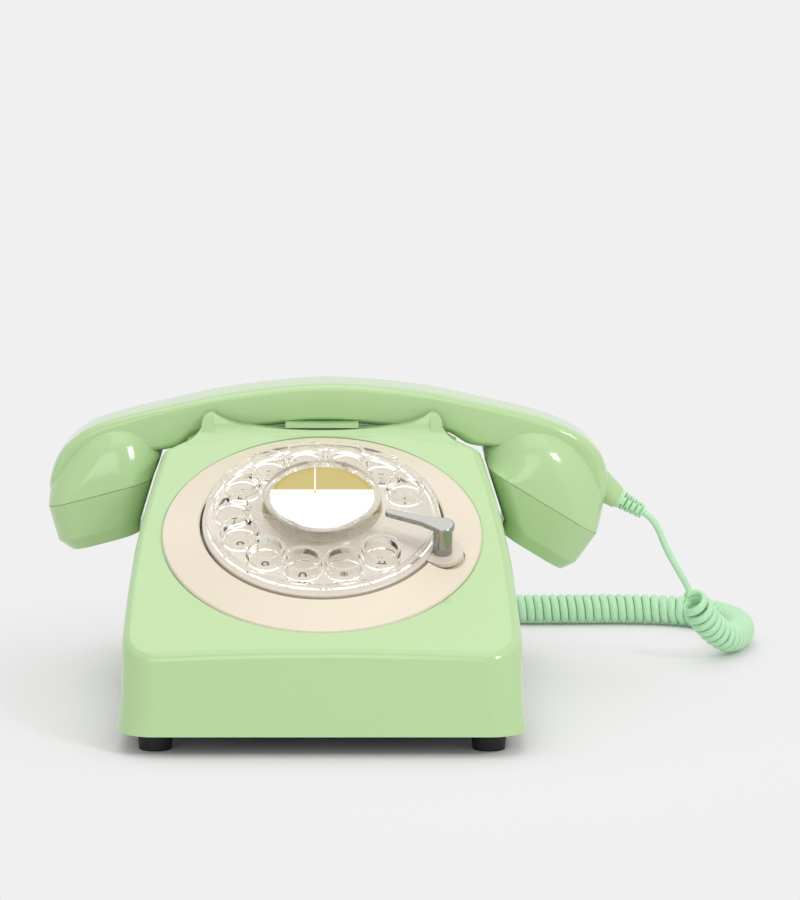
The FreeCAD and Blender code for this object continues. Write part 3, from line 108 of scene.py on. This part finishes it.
# Printing on the card, in millimetres up the slope and across from the dial's centre: a gold field, a rule below it,
# and a divider that is white in the field and gold from there down to the rule
CARD_WHITE, CARD_GOLD = "#FBFAF7", "#B8A552"
GOLD_LOW, GOLD_HIGH = 5.4, 30.0
RULE_LOW, RULE_HIGH = 2.95, 3.35
DIVIDER_LOW, DIVIDER_LEFT, DIVIDER_RIGHT = 3.2, -2.9, -2.4
# Colour sockets of a mix node, by their place, because its other kinds share their names
MIX_FIRST, MIX_SECOND, MIX_RESULT = 6, 7, 2


def card_material():
    """Coated card, printed: white and half matt, with a gold field over its upper part and thin rules."""
    material = new_material("printed_card", CARD_WHITE, 0.45)
    tree = material.node_tree
    shader = tree.nodes["Principled BSDF"]
    place = add_node(tree, "ShaderNodeTexCoord")
    away = add_node(tree, "ShaderNodeVectorMath",
                    {0: place.outputs["Object"], 1: placed(DIAL_CENTRE)}, operation="SUBTRACT")
    up_slope = (0, math.cos(SLOPE) / MM, math.sin(SLOPE) / MM)
    up = add_node(tree, "ShaderNodeVectorMath", {0: away.outputs[0], 1: up_slope}, operation="DOT_PRODUCT")
    across = add_node(tree, "ShaderNodeVectorMath", {0: away.outputs[0], 1: (1 / MM, 0, 0)},
                      operation="DOT_PRODUCT")

    def between(socket, low, high):
        centre, half = (low + high) / 2, (high - low) / 2
        inside = add_node(tree, "ShaderNodeMath", {0: socket, 1: centre, 2: half}, operation="COMPARE")
        return inside.outputs[0]

    def both(a, b, operation):
        joined = add_node(tree, "ShaderNodeMath", {0: a, 1: b}, operation=operation, use_clamp=True)
        return joined.outputs[0]

    height, side = up.outputs["Value"], across.outputs["Value"]
    divider = between(side, DIVIDER_LEFT, DIVIDER_RIGHT)
    gold = both(between(height, GOLD_LOW, GOLD_HIGH), divider, "SUBTRACT")
    below = both(between(height, DIVIDER_LOW, GOLD_LOW), divider, "MULTIPLY")
    rules = both(between(height, RULE_LOW, RULE_HIGH), below, "ADD")
    printed = both(gold, rules, "ADD")
    colour = add_node(tree, "ShaderNodeMix", {"Factor": printed, MIX_FIRST: linear(CARD_WHITE),
                                              MIX_SECOND: linear(CARD_GOLD)}, data_type="RGBA")
    tree.links.new(colour.outputs[MIX_RESULT], shader.inputs["Base Color"])
    return material


def clear_material(name, bend, roughness):
    """Moulded acrylic: clear, with sharp reflections on its faces.

    bend is its index of refraction. Light on its way to a surface passes straight through."""
    material = new_material(name, "#FEFEFD", roughness, Transmission_Weight=1.0, IOR=bend, Coat_Weight=0.5,
                            Coat_IOR=1.5, Coat_Roughness=roughness)
    tree = material.node_tree
    path = add_node(tree, "ShaderNodeLightPath")
    rays = {0: path.outputs["Is Shadow Ray"], 1: path.outputs["Is Diffuse Ray"]}
    passing = add_node(tree, "ShaderNodeMath", rays, operation="MAXIMUM")
    through = add_node(tree, "ShaderNodeBsdfTransparent", {"Color": linear("#FBFBFA")})
    solid = tree.nodes["Principled BSDF"].outputs[0]
    mix = add_node(tree, "ShaderNodeMixShader", {0: passing.outputs[0], 1: solid, 2: through.outputs[0]})
    tree.links.new(mix.outputs[0], tree.nodes["Material Output"].inputs["Surface"])
    return material


MATERIALS = {
    # Moulded ABS: glossy, with the faint waviness of a large moulding
    "green_abs": new_material("abs_pale_green", "#AFCE96", 0.13, 0.004, 9.0, Specular_IOR_Level=0.5,
                              Coat_Weight=0.25, Coat_Roughness=0.08),
    # Painted steel: black, with a broad soft highlight
    "black_steel": new_material("painted_steel_black", "#1C1E1D", 0.45),
    # Moulded rubber: black and matt
    "black_rubber": new_material("rubber_black", "#161616", 0.62),
    # Zinc-plated steel: grey metal that blurs what it mirrors
    "zinc_steel": new_material("steel_zinc_plated", "#B9BBBE", 0.35, Metallic=1.0),
    # Moulded plastic: black and half matt
    "black_moulding": new_material("moulding_black", "#1B1B1C", 0.5),
    # Lacquered fibre board: green and half matt
    "board": new_material("fibre_board_green", "#2C5A36", 0.5),
    # Moulded ABS in cream: a softer gloss than the body's
    "cream_plastic": new_material("abs_cream", "#E0D5C0", 0.28, Coat_Weight=0.15, Coat_Roughness=0.1),
    # Painted plate: even, with a soft gloss
    "beige_plate": new_material("plate_beige", "#D3CABB", 0.35),
    # Clear wheel: its IOR is below acrylic's 1.49, so that the plate shows through it plainly
    "clear_acrylic": clear_material("acrylic_clear", 1.2, 0.02),
    "card": card_material(),
    # Polished chrome plating: mirrors the room
    "chrome": new_material("chrome_polished", "#A5A39F", 0.1, Metallic=1.0),
    # Turned brass: yellow metal, a little blurred
    "brass": new_material("brass_turned", "#B99A55", 0.3, Metallic=1.0),
    # Bare spring steel: darker grey metal
    "spring_steel": new_material("steel_spring", "#8C8D90", 0.35, Metallic=1.0),
    # Polished brass: mirrors more sharply than the turned one
    "gong_brass": new_material("brass_polished", "#C6A65B", 0.18, Metallic=1.0),
    # Winding of lacquered copper wire: reddish brown, its wires too fine to tell apart
    "coil": new_material("copper_winding", "#8C3A22", 0.4),
    # Pressed aluminium: pale metal, blurred
    "capsule_metal": new_material("aluminium_pressed", "#BFC0C1", 0.35, Metallic=1.0),
    # Extruded vinyl: a soft gloss
    "cord_vinyl": new_material("vinyl_green", "#B6E2B8", 0.32, Coat_Weight=0.1, Coat_Roughness=0.2),
    # Moulded plug: cloudy and half clear
    "clear_plug": new_material("plug_cloudy", "#DDE5DA", 0.2, Transmission_Weight=0.6, IOR=1.5),
}
# Printing ink: dark and half matt
INK = new_material("ink_dark", "#3A3B40", 0.5)
# Thin window over the card: it hardly bends light
WINDOW = clear_material("acrylic_window", 1.02, 0.02)

for entry in frame["record"]["subparts"]:
    obj = nodes[entry["node"]]
    obj.data.materials.clear()
    obj.data.materials.append(MATERIALS[entry["material_slot"]])
nodes["card_cover"].data.materials[0] = WINDOW

# Handset: two domed cups that the grip runs into. Each row is the outer and inner point of a section in X and Z and
# half its depth, in millimetres, and how much of its half length and half depth its corners take
HANDSET_Y = 42.5
EAR_DOME = [(-109.7, 71.5, -67.9, 82.5, 24.25, 0.46, 0.41), (-109.2, 79.4, -65.4, 88.6, 24.0, 0.74, 0.70),
            (-107.0, 87.2, -64.0, 94.2, 22.9, 0.93, 0.91), (-102.2, 94.8, -66.2, 99.8, 20.3, 1.0, 1.0),
            (-94.4, 101.2, -72.6, 103.6, 14.6, 1.0, 1.0), (-84.5, 104.6, -82.5, 104.8, 0.8, 1.0, 1.0)]
MOUTH_DOME = [(110.4, 60.3, 66.4, 87.1, 24.25, 0.46, 0.41), (113.4, 70.5, 65.4, 90.4, 24.0, 0.74, 0.70),
              (114.0, 80.5, 64.8, 94.4, 22.9, 0.93, 0.91), (110.0, 91.0, 67.0, 99.4, 20.3, 1.0, 1.0),
              (102.0, 99.6, 75.0, 103.6, 14.6, 1.0, 1.0), (91.0, 105.0, 88.0, 105.2, 0.8, 1.0, 1.0)]
GRIP = [(-109.3, 73.2, -100.0, 75.6, 12.0, 0.5, 0.6), (-109.6, 81.0, -98.0, 82.0, 14.0, 0.5, 0.5),
        (-106.0, 91.2, -92.0, 88.0, 15.0, 0.44, 0.42), (-100.0, 98.0, -82.0, 92.0, 16.0, 0.4, 0.34),
        (-92.2, 103.0, -70.0, 92.6, 16.4, 0.36, 0.3), (-80.0, 107.0, -57.4, 94.9, 16.4, 0.36, 0.3),
        (-62.0, 111.3, -47.4, 100.9, 16.5, 0.36, 0.34), (-36.0, 116.7, -31.5, 102.0, 16.5, 0.32, 0.36),
        (1.0, 120.3, 1.0, 104.8, 16.5, 0.32, 0.36), (38.0, 117.5, 34.0, 102.0, 16.5, 0.32, 0.36),
        (65.0, 112.1, 49.4, 100.8, 16.5, 0.36, 0.34), (86.5, 107.0, 59.4, 95.6, 16.4, 0.36, 0.3),
        (99.6, 102.0, 72.0, 94.4, 16.4, 0.36, 0.3), (107.8, 96.6, 84.0, 92.0, 16.0, 0.4, 0.34),
        (113.2, 89.4, 94.0, 88.0, 15.0, 0.44, 0.42), (115.2, 78.0, 98.0, 80.0, 14.0, 0.5, 0.5),
        (111.4, 64.4, 100.0, 70.0, 12.0, 0.5, 0.6)]
# The grip gets less deep by this share on its way to its inner side
GRIP_TAPER = 0.1
# Boss round the root of the strain relief: each row is a place along the relief's axis, a radius and a rise
RELIEF_ROOT, RELIEF_AXIS = Vector((119.75, 42.18, 72.33)), Vector((0.866, 0.026, -0.499))
BOSS = [(0.0, 4.6, 0.0), (-5.0, 5.6, 0.6), (-10.0, 6.6, 1.2), (-15.0, 7.6, 1.8)]
ROW_STEPS, ARC_STEPS, BOSS_SIDES = 6, 10, 40
# Corners stop just short of meeting, so that no two points of a section fall together
CORNER_MOST = 0.999
# Edges that turn by more than this stay sharp; points nearer than this, in metres, are joined
SMOOTH_ANGLE, JOIN_DISTANCE = math.radians(32), 1e-6


def between_values(a, b, c, d, t):
    """A value at share t of the way from b to c, on the smooth course through all four."""
    return 0.5 * (2 * b + (c - a) * t + (2 * a - 5 * b + 4 * c - d) * t ** 2
                  + (3 * b - a - 3 * c + d) * t ** 3)


def smooth_rows(rows):
    """Rows of numbers with smooth rows put in between them."""
    out = []
    for i in range(len(rows) - 1):
        four = [rows[min(max(i + k, 0), len(rows) - 1)] for k in (-1, 0, 1, 2)]
        for j in range(ROW_STEPS):
            out.append([between_values(*values, j / ROW_STEPS) for values in zip(*four)])
    return out + [list(rows[-1])]


def section_ring(outer_x, outer_z, inner_x, inner_z, half_depth, along_share, depth_share, taper=0.0):
    """Points of a rectangle with elliptic corners, spanned by the two points and the depth.

    It gets less deep by the taper's share on its way to the inner point."""
    outer, inner = Vector((outer_x, HANDSET_Y, outer_z)), Vector((inner_x, HANDSET_Y, inner_z))
    middle, across = (outer + inner) / 2, (inner - outer).normalized()
    half = (inner - outer).length / 2
    long, deep = half * min(along_share, CORNER_MOST), half_depth * min(depth_share, CORNER_MOST)
    ring = []
    for quarter, (sa, sd) in enumerate(((1, 1), (-1, 1), (-1, -1), (1, -1))):
        for k in range(ARC_STEPS + 1):
            angle = math.pi / 2 * (quarter + k / ARC_STEPS)
            reach = sa * (half - long) + long * math.cos(angle)
            depth = sd * (half_depth - deep) + deep * math.sin(angle)
            depth *= 1 - taper * (reach / half + 1) / 2
            ring.append(middle + across * reach + Vector((0, depth, 0)))
    return [placed(point) for point in ring]


def circle_angles(count):
    """Angles of so many equal steps round a circle."""
    return [2 * math.pi * k / count for k in range(count)]


def round_ring(centre, axis, radius):
    """Points of a circle round an axis."""
    side = axis.cross(Vector((0, 1, 0))).normalized()
    up = axis.cross(side)
    return [placed(centre + (side * math.cos(a) + up * math.sin(a)) * radius)
            for a in circle_angles(BOSS_SIDES)]


def lofted(vertices, faces, rings):
    """Adds a closed skin over the rings to the lists."""
    count = len(rings[0])
    start = len(vertices)
    for ring in rings:
        vertices.extend(ring)
    for i in range(len(rings) - 1):
        for k in range(count):
            a, b = start + i * count + k, start + i * count + (k + 1) % count
            faces.append((a, b, b + count, a + count))
    faces.append(tuple(range(start + count - 1, start - 1, -1)))
    last = start + (len(rings) - 1) * count
    faces.append(tuple(range(last, last + count)))


def mesh_piece(name, lofts, slot, body):
    """A mesh of closed skins, each over its own rings, as a piece of a body.

    Its normals point outward, and it is smooth but for its sharp edges."""
    vertices, faces = [], []
    for rings in lofts:
        lofted(vertices, faces, rings)
    mesh = bpy.data.meshes.new(name)
    mesh.from_pydata(vertices, [], faces)
    work = bmesh.new()
    work.from_mesh(mesh)
    bmesh.ops.remove_doubles(work, verts=work.verts, dist=JOIN_DISTANCE)
    bmesh.ops.recalc_face_normals(work, faces=work.faces)
    work.to_mesh(mesh)
    work.free()
    mesh.polygons.foreach_set("use_smooth", [True] * len(mesh.polygons))
    mesh.set_sharp_from_angle(angle=SMOOTH_ANGLE)
    mesh.materials.append(MATERIALS[slot])
    piece = bpy.data.objects.new(name, mesh)
    scene.collection.objects.link(piece)
    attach(piece, body)
    return piece


def handset_skin():
    """The handset's shell: two domes, the grip that runs over them and the boss of the relief."""
    lofts = [[section_ring(*row, taper) for row in smooth_rows(rows)]
             for rows, taper in ((EAR_DOME, 0.0), (MOUTH_DOME, 0.0), (GRIP, GRIP_TAPER))]
    raised = Vector((0, 1, 0)).cross(RELIEF_AXIS) * -1
    lofts.append([round_ring(RELIEF_ROOT + RELIEF_AXIS * at + raised * rise, RELIEF_AXIS, radius)
                  for at, radius, rise in smooth_rows(BOSS)])
    skin = mesh_piece("handset_skin", lofts, "green_abs", "handset")
    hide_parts("handset_shell")


handset_skin()

# Rounded ends of the cradle's horns: HORN_END is their outline from the front, as X away from the middle and Z, and
# HORN_FRONT is how their front leans back, as Z and Y
HORN_END = [(43.0, 109.9), (44.2, 110.0), (45.4, 109.7), (46.4, 109.0), (47.1, 108.0), (47.6, 106.7), (47.8, 105.4),
            (47.8, 104.2), (47.8, 103.2), (48.2, 102.4), (43.0, 102.4)]
HORN_FRONT = [(102.4, 17.3), (103.5, 18.27), (104.5, 18.81), (105.5, 19.18), (106.5, 19.5), (107.5, 19.73),
              (108.5, 19.96), (109.6, 20.21), (110.0, 20.4)]
HORN_REAR = 24.5


def horn_front(height):
    """Y of a horn's front at a height."""
    for (low, near), (high, far) in zip(HORN_FRONT, HORN_FRONT[1:]):
        if height <= high:
            return near + (far - near) * (height - low) / (high - low)
    return HORN_FRONT[-1][1]


def horn_end(name, side):
    """The end of the horn on one side, from its leaning front to its straight rear."""
    rings = [[placed((side * x, horn_front(z), z)) for x, z in HORN_END],
             [placed((side * x, HORN_REAR, z)) for x, z in HORN_END]]
    mesh_piece(name, [rings], "green_abs", "base")


horn_end("horn_end_left", -1)
horn_end("horn_end_right", 1)

# Card under its window: its top lies clear of the window's lower face, and it reaches down to its seat
CARD_RADIUS, CARD_HEIGHT, CARD_THICKNESS, CARD_SIDES = 19.8, 15.6, 0.62, 96


def card_sheet():
    """The printed card as a round sheet."""
    rings = [[on_dial(CARD_RADIUS * math.cos(a), CARD_RADIUS * math.sin(a), height)
              for a in circle_angles(CARD_SIDES)] for height in (CARD_HEIGHT - CARD_THICKNESS, CARD_HEIGHT)]
    sheet = mesh_piece("card_sheet", [rings], "card", "wheel")
    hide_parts("number_card")


card_sheet()

# Cord: control points of one smooth line, in millimetres, for the lead, the axis of the curls and the tail
LEAD = [(130.4, 42.5, 66.2), (135.2, 42.6, 63.2), (140.0, 44.2, 51.0), (145.0, 46.0, 42.3)]
COIL = [(149.8, 50.0, 34.0), (157.5, 57.5, 18.5), (169.0, 70.5, 7.5), (177.3, 91.5, 6.8), (178.2, 111.0, 6.8),
        (171.5, 128.0, 6.8), (156.0, 139.0, 6.8), (136.0, 142.5, 6.8), (108.0, 141.5, 6.8), (80.0, 141.5, 6.8),
        (56.0, 141.0, 6.8), (40.0, 141.0, 6.8)]
TAIL = [(28.9, 141.0, 6.8), (14.0, 140.0, 7.6), (-1.0, 139.5, 11.0), (-13.0, 137.5, 16.0), (-22.0, 131.0, 20.0),
        (-22.0, 117.0, 20.0)]
# The cord is flat in its curls, wide along their axis, and round in the lead and tail
CURL_WIDTH, CURL_THICKNESS, LEAD_DIAMETER = 3.5, 2.5, 2.7
CURL_RADIUS, CURL_PITCH = 5.15, 3.62
# Both ends of the curls are pulled open: the pitch grows by this many pitches over OPEN_LENGTH from the end, and the
# radius comes up from nothing over EASE_LENGTH
OPEN_PITCHES, OPEN_LENGTH, EASE_LENGTH = 3.0, 15.0, 11.0
# Steps along the axis of the curls, and the least distance between two rings of the cord
CURL_STEP, LEAST_STEP = 0.2, 0.5
# Steps to either side over which the bend of the axis is measured
BEND_REACH = 12
# The flat side follows the axis where at least this share of it lies across the cord
ACROSS_LEAST = 0.5
CORD_SIDES, ROUTE_RESOLUTION = 12, 24
NO_LENGTH = 1e-12


def nurbs_points(name, points):
    """Points along the smooth spline that has these control points."""
    curve = bpy.data.curves.new(name, "CURVE")
    curve.dimensions = "3D"
    curve.resolution_u = ROUTE_RESOLUTION
    spline = curve.splines.new("NURBS")
    spline.points.add(len(points) - 1)
    for control, point in zip(spline.points, points):
        control.co = (*placed(point), 1.0)
    spline.order_u = 3
    spline.use_endpoint_u = True
    holder = bpy.data.objects.new(name, curve)
    scene.collection.objects.link(holder)
    bpy.context.view_layer.update()
    mesh = bpy.data.meshes.new_from_object(holder.evaluated_get(bpy.context.evaluated_depsgraph_get()))
    line = [vertex.co.copy() for vertex in mesh.vertices]
    bpy.data.objects.remove(holder)
    bpy.data.curves.remove(curve)
    bpy.data.meshes.remove(mesh)
    return line


def along(line):
    """Distance from the start at every point of a line."""
    reached = [0.0]
    for a, b in zip(line, line[1:]):
        reached.append(reached[-1] + (b - a).length)
    return reached


def directions_along(line):
    """Direction of a line at every one of its points."""
    last = len(line) - 1
    return [(line[min(i + 1, last)] - line[max(i - 1, 0)]).normalized() for i in range(last + 1)]


def resampled(line, step):
    """The line at equal steps, as points and directions."""
    reached = along(line)
    count = round(reached[-1] / step)
    points, k = [], 0
    for i in range(count + 1):
        at = reached[-1] * i / count
        while k < len(line) - 2 and reached[k + 1] < at:
            k += 1
        share = (at - reached[k]) / max(reached[k + 1] - reached[k], NO_LENGTH)
        points.append(line[k].lerp(line[k + 1], min(max(share, 0.0), 1.0)))
    return points, directions_along(points)


def curly_line():
    """The cord's stations: point, axis of the curls or None, and how far the curl has opened, from 0 to 1.

    The curls ease out of the axis and back into it, and stand further apart where the axis bends."""
    whole = nurbs_points("cord_route", LEAD + COIL + TAIL)
    first = min(range(len(whole)), key=lambda i: (whole[i] - placed(COIL[0])).length)
    last = min(range(len(whole)), key=lambda i: (whole[i] - placed(COIL[-1])).length)
    points, directions = resampled(whole[first:last + 1], CURL_STEP * MM)
    angles = [0.0]
    for i in range(1, len(points)):
        low, high = max(i - BEND_REACH, 0), min(i + BEND_REACH, len(points) - 1)
        bend = directions[low].angle(directions[high]) / ((high - low) * CURL_STEP)
        from_end = min(i, len(points) - 1 - i) * CURL_STEP
        opened = 1 + OPEN_PITCHES * max(0.0, 1 - from_end / OPEN_LENGTH) ** 2
        angles.append(angles[-1] + 2 * math.pi * CURL_STEP * (1 - CURL_RADIUS * bend) / (CURL_PITCH * opened))
    turns = round(angles[-1] / (2 * math.pi))
    side = directions[0].cross(Vector((0, 0, 1))).normalized()
    stations = [(point, None, 0.0) for point in whole[:first]]
    for i, (point, direction, angle) in enumerate(zip(points, directions, angles)):
        side = (side - direction * side.dot(direction)).normalized()
        up = direction.cross(side)
        angle *= 2 * math.pi * turns / angles[-1]
        ease = min(1.0, min(i, len(points) - 1 - i) * CURL_STEP / EASE_LENGTH)
        ease = ease ** 2 * (3 - 2 * ease)
        curl = point + (side * math.cos(angle) + up * math.sin(angle)) * (CURL_RADIUS * ease * MM)
        stations.append((curl, direction, ease))
    stations += [(point, None, 0.0) for point in whole[last + 1:]]
    kept = stations[:1]
    for station in stations[1:]:
        if (station[0] - kept[-1][0]).length > LEAST_STEP * MM:
            kept.append(station)
    return kept


def cord_rings(stations):
    """Rings round the stations, flat where the curls have opened."""
    line = [station[0] for station in stations]
    ways = directions_along(line)
    wide = [None] * len(line)
    for i, (_, axis, _) in enumerate(stations):
        if axis is not None:
            across = axis - ways[i] * axis.dot(ways[i])
            wide[i] = across.normalized() if across.length > ACROSS_LEAST else None
    begun = next(i for i, across in enumerate(wide) if across is not None)
    for i in list(range(begun - 1, -1, -1)) + list(range(begun + 1, len(line))):
        if wide[i] is None:
            carried = wide[i + 1] if i < begun else wide[i - 1]
            wide[i] = (carried - ways[i] * carried.dot(ways[i])).normalized()
    rings = []
    for (point, _, share), way, across in zip(stations, ways, wide):
        broad = LEAD_DIAMETER + (CURL_WIDTH - LEAD_DIAMETER) * share
        thick = LEAD_DIAMETER + (CURL_THICKNESS - LEAD_DIAMETER) * share
        out = way.cross(across)
        rings.append([point + (across * (broad * math.cos(a)) + out * (thick * math.sin(a))) * (MM / 2)
                      for a in circle_angles(CORD_SIDES)])
    return rings


def make_cord():
    """The whole cord, from the strain relief to the plug, as one tube."""
    stations = curly_line()
    cord = mesh_piece("curly_cord", [cord_rings(stations)], "cord_vinyl", "base")
    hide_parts("handset_lead", "handset_cord", "cord_tail")


make_cord()

# Numbers on the plate, seen through the finger holes: their height, the font's size for a height of 1, how far out of
# the dial's centre they lie and half the thickness of their ink
NUMBERS = "1234567890*#"
NUMBER_HEIGHT, FONT_SHARE, NUMBER_LIFT, INK_HALF = 5.2, 1.4, 4.24, 0.02


def plate_number(place, number):
    """The number at one of the holes, counted from 0."""
    angle = math.radians(HOLE_FIRST + HOLE_STEP * place)
    text = bpy.data.curves.new("plate_number_%d" % (place + 1), "FONT")
    text.body = number
    text.size = NUMBER_HEIGHT * FONT_SHARE * MM
    text.align_x = "CENTER"
    text.align_y = "CENTER"
    text.extrude = INK_HALF * MM
    piece = bpy.data.objects.new("plate_number_%d" % (place + 1), text)
    scene.collection.objects.link(piece)
    spot = on_dial(HOLE_RADIUS * math.cos(angle), HOLE_RADIUS * math.sin(angle), NUMBER_LIFT)
    piece.matrix_world = Matrix.Translation(spot) @ Matrix.Rotation(SLOPE, 4, "X")
    text.materials.append(INK)
    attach(piece, "base")


for place, number in enumerate(NUMBERS):
    plate_number(place, number)

# Stage, in metres: white paper that glows to an even tone away from the object and takes its shadow near it
FLOOR_COLOUR, PAPER_COLOUR = "#E3E2E3", "#F1F0F1"
# The share of glow goes from SHADE_LEAST at SHADE_NEAR from the middle to all of it at SHADE_FAR
SHADE_NEAR, SHADE_FAR, SHADE_LEAST = 0.1, 0.28, 0.52
# It also gives way where something stands this close over the paper, so painted contact shade darkens the paper under
# and beside things
CONTACT_REACH, CONTACT_POWER, CONTACT_SAMPLES = 0.035, 2.0, 8
FLOOR_FRONT, BACK_Y, BACK_TOP, FLOOR_HALF = -3.0, 2.6, 3.2, 4.0
BEND, BEND_STEPS = 0.8, 16
WORLD_COLOUR, WORLD_STRENGTH = "#FFFFFF", 0.72
# Lamps: place, width and depth, and power in watts
LAMP_TARGET = (0, 0, 0.05)
LAMPS = {"key": ((0.75, -0.85, 0.85), (0.24, 0.24), 5.0),
         "overhead": ((0.1, -0.5, 1.7), (1.2, 1.2), 3.5),
         "sheen": ((-0.2, 0.55, 1.45), (1.0, 1.0), 3.2),
         "front": ((-0.5, -2.2, 0.9), (1.4, 1.0), 7.0)}


def sweep():
    """A floor that curves up into a backdrop."""
    angles = [math.pi / 2 * i / BEND_STEPS for i in range(BEND_STEPS + 1)]
    bend = [(BACK_Y - BEND + BEND * math.sin(a), BEND - BEND * math.cos(a)) for a in angles]
    profile = [(FLOOR_FRONT, 0.0)] + bend + [(BACK_Y, BACK_TOP)]
    vertices = [(x, y, z) for y, z in profile for x in (-FLOOR_HALF, FLOOR_HALF)]
    faces = [(2 * i, 2 * i + 1, 2 * i + 3, 2 * i + 2) for i in range(len(profile) - 1)]
    mesh = bpy.data.meshes.new("sweep")
    mesh.from_pydata(vertices, [], faces)
    mesh.polygons.foreach_set("use_smooth", [True] * len(mesh.polygons))
    floor = bpy.data.objects.new("sweep", mesh)
    scene.collection.objects.link(floor)
    material = new_material("paper_white", FLOOR_COLOUR, 0.9, Specular_IOR_Level=0.0)
    tree = material.node_tree
    place = add_node(tree, "ShaderNodeNewGeometry")
    away = add_node(tree, "ShaderNodeVectorMath", {0: place.outputs["Position"]}, operation="LENGTH")
    share = add_node(tree, "ShaderNodeMapRange", {"Value": away.outputs["Value"], "From Min": SHADE_NEAR,
                                                  "From Max": SHADE_FAR, "To Min": SHADE_LEAST, "To Max": 1.0},
                     interpolation_type="SMOOTHSTEP")
    glow = add_node(tree, "ShaderNodeEmission", {"Color": linear(PAPER_COLOUR)})
    # Painted contact shade: ambient occlusion cuts the glow where the paper is hemmed in, so it darkens under and
    # beside things
    open_sky = add_node(tree, "ShaderNodeAmbientOcclusion", {"Distance": CONTACT_REACH}, samples=CONTACT_SAMPLES)
    lit = add_node(tree, "ShaderNodeMath", {0: open_sky.outputs["AO"], 1: CONTACT_POWER}, operation="POWER")
    glowing = add_node(tree, "ShaderNodeMath", {0: share.outputs["Result"], 1: lit.outputs[0]},
                       operation="MULTIPLY")
    paper = tree.nodes["Principled BSDF"].outputs[0]
    mix = add_node(tree, "ShaderNodeMixShader", {0: glowing.outputs[0], 1: paper, 2: glow.outputs[0]})
    tree.links.new(mix.outputs[0], tree.nodes["Material Output"].inputs["Surface"])
    mesh.materials.append(material)


sweep()
world = bpy.data.worlds.new("studio")
scene.world = world
world.use_nodes = True
background = world.node_tree.nodes["Background"]
background.inputs["Color"].default_value = linear(WORLD_COLOUR)
background.inputs["Strength"].default_value = WORLD_STRENGTH


def area_lamp(name, place, size, power):
    """A white lamp that faces the object."""
    light = bpy.data.lights.new(name, "AREA")
    light.shape = "RECTANGLE"
    light.size, light.size_y = size
    light.energy = power
    lamp = bpy.data.objects.new(name, light)
    scene.collection.objects.link(lamp)
    lamp.location = place
    lamp.rotation_euler = (Vector(LAMP_TARGET) - Vector(place)).to_track_quat("-Z", "Y").to_euler()


for lamp_name, settings in LAMPS.items():
    area_lamp(lamp_name, *settings)

# Camera: a long lens that looks down a little; its place is in the drawing's millimetres, its angle in degrees
PICTURE_WIDTH, PICTURE_HEIGHT = 800, 900
CAMERA_LENS, CAMERA_SENSOR, CAMERA_SHIFT = 132.0, 36.0, 78 / PICTURE_HEIGHT
CAMERA_PLACE, CAMERA_DOWN, CAMERA_NEAR = (0.0, -1279.67, 285.39), 8.337, 0.01
# Bounces enough for light to go in and out of the wheel and the window
CLEAR_BOUNCES, MOST_BOUNCES = 16, 24

camera_data = bpy.data.cameras.new("camera")
camera_data.lens = CAMERA_LENS
camera_data.sensor_width = CAMERA_SENSOR
camera_data.shift_x = CAMERA_SHIFT
camera_data.clip_start = CAMERA_NEAR
camera = bpy.data.objects.new("camera", camera_data)
scene.collection.objects.link(camera)
camera.location = placed(CAMERA_PLACE)
camera.rotation_euler = (math.radians(90 - CAMERA_DOWN), 0, 0)
scene.camera = camera

scene.render.engine = "CYCLES"
scene.render.resolution_x, scene.render.resolution_y = PICTURE_WIDTH, PICTURE_HEIGHT
scene.view_settings.view_transform = "Standard"
scene.cycles.transmission_bounces = CLEAR_BOUNCES
scene.cycles.max_bounces = MOST_BOUNCES
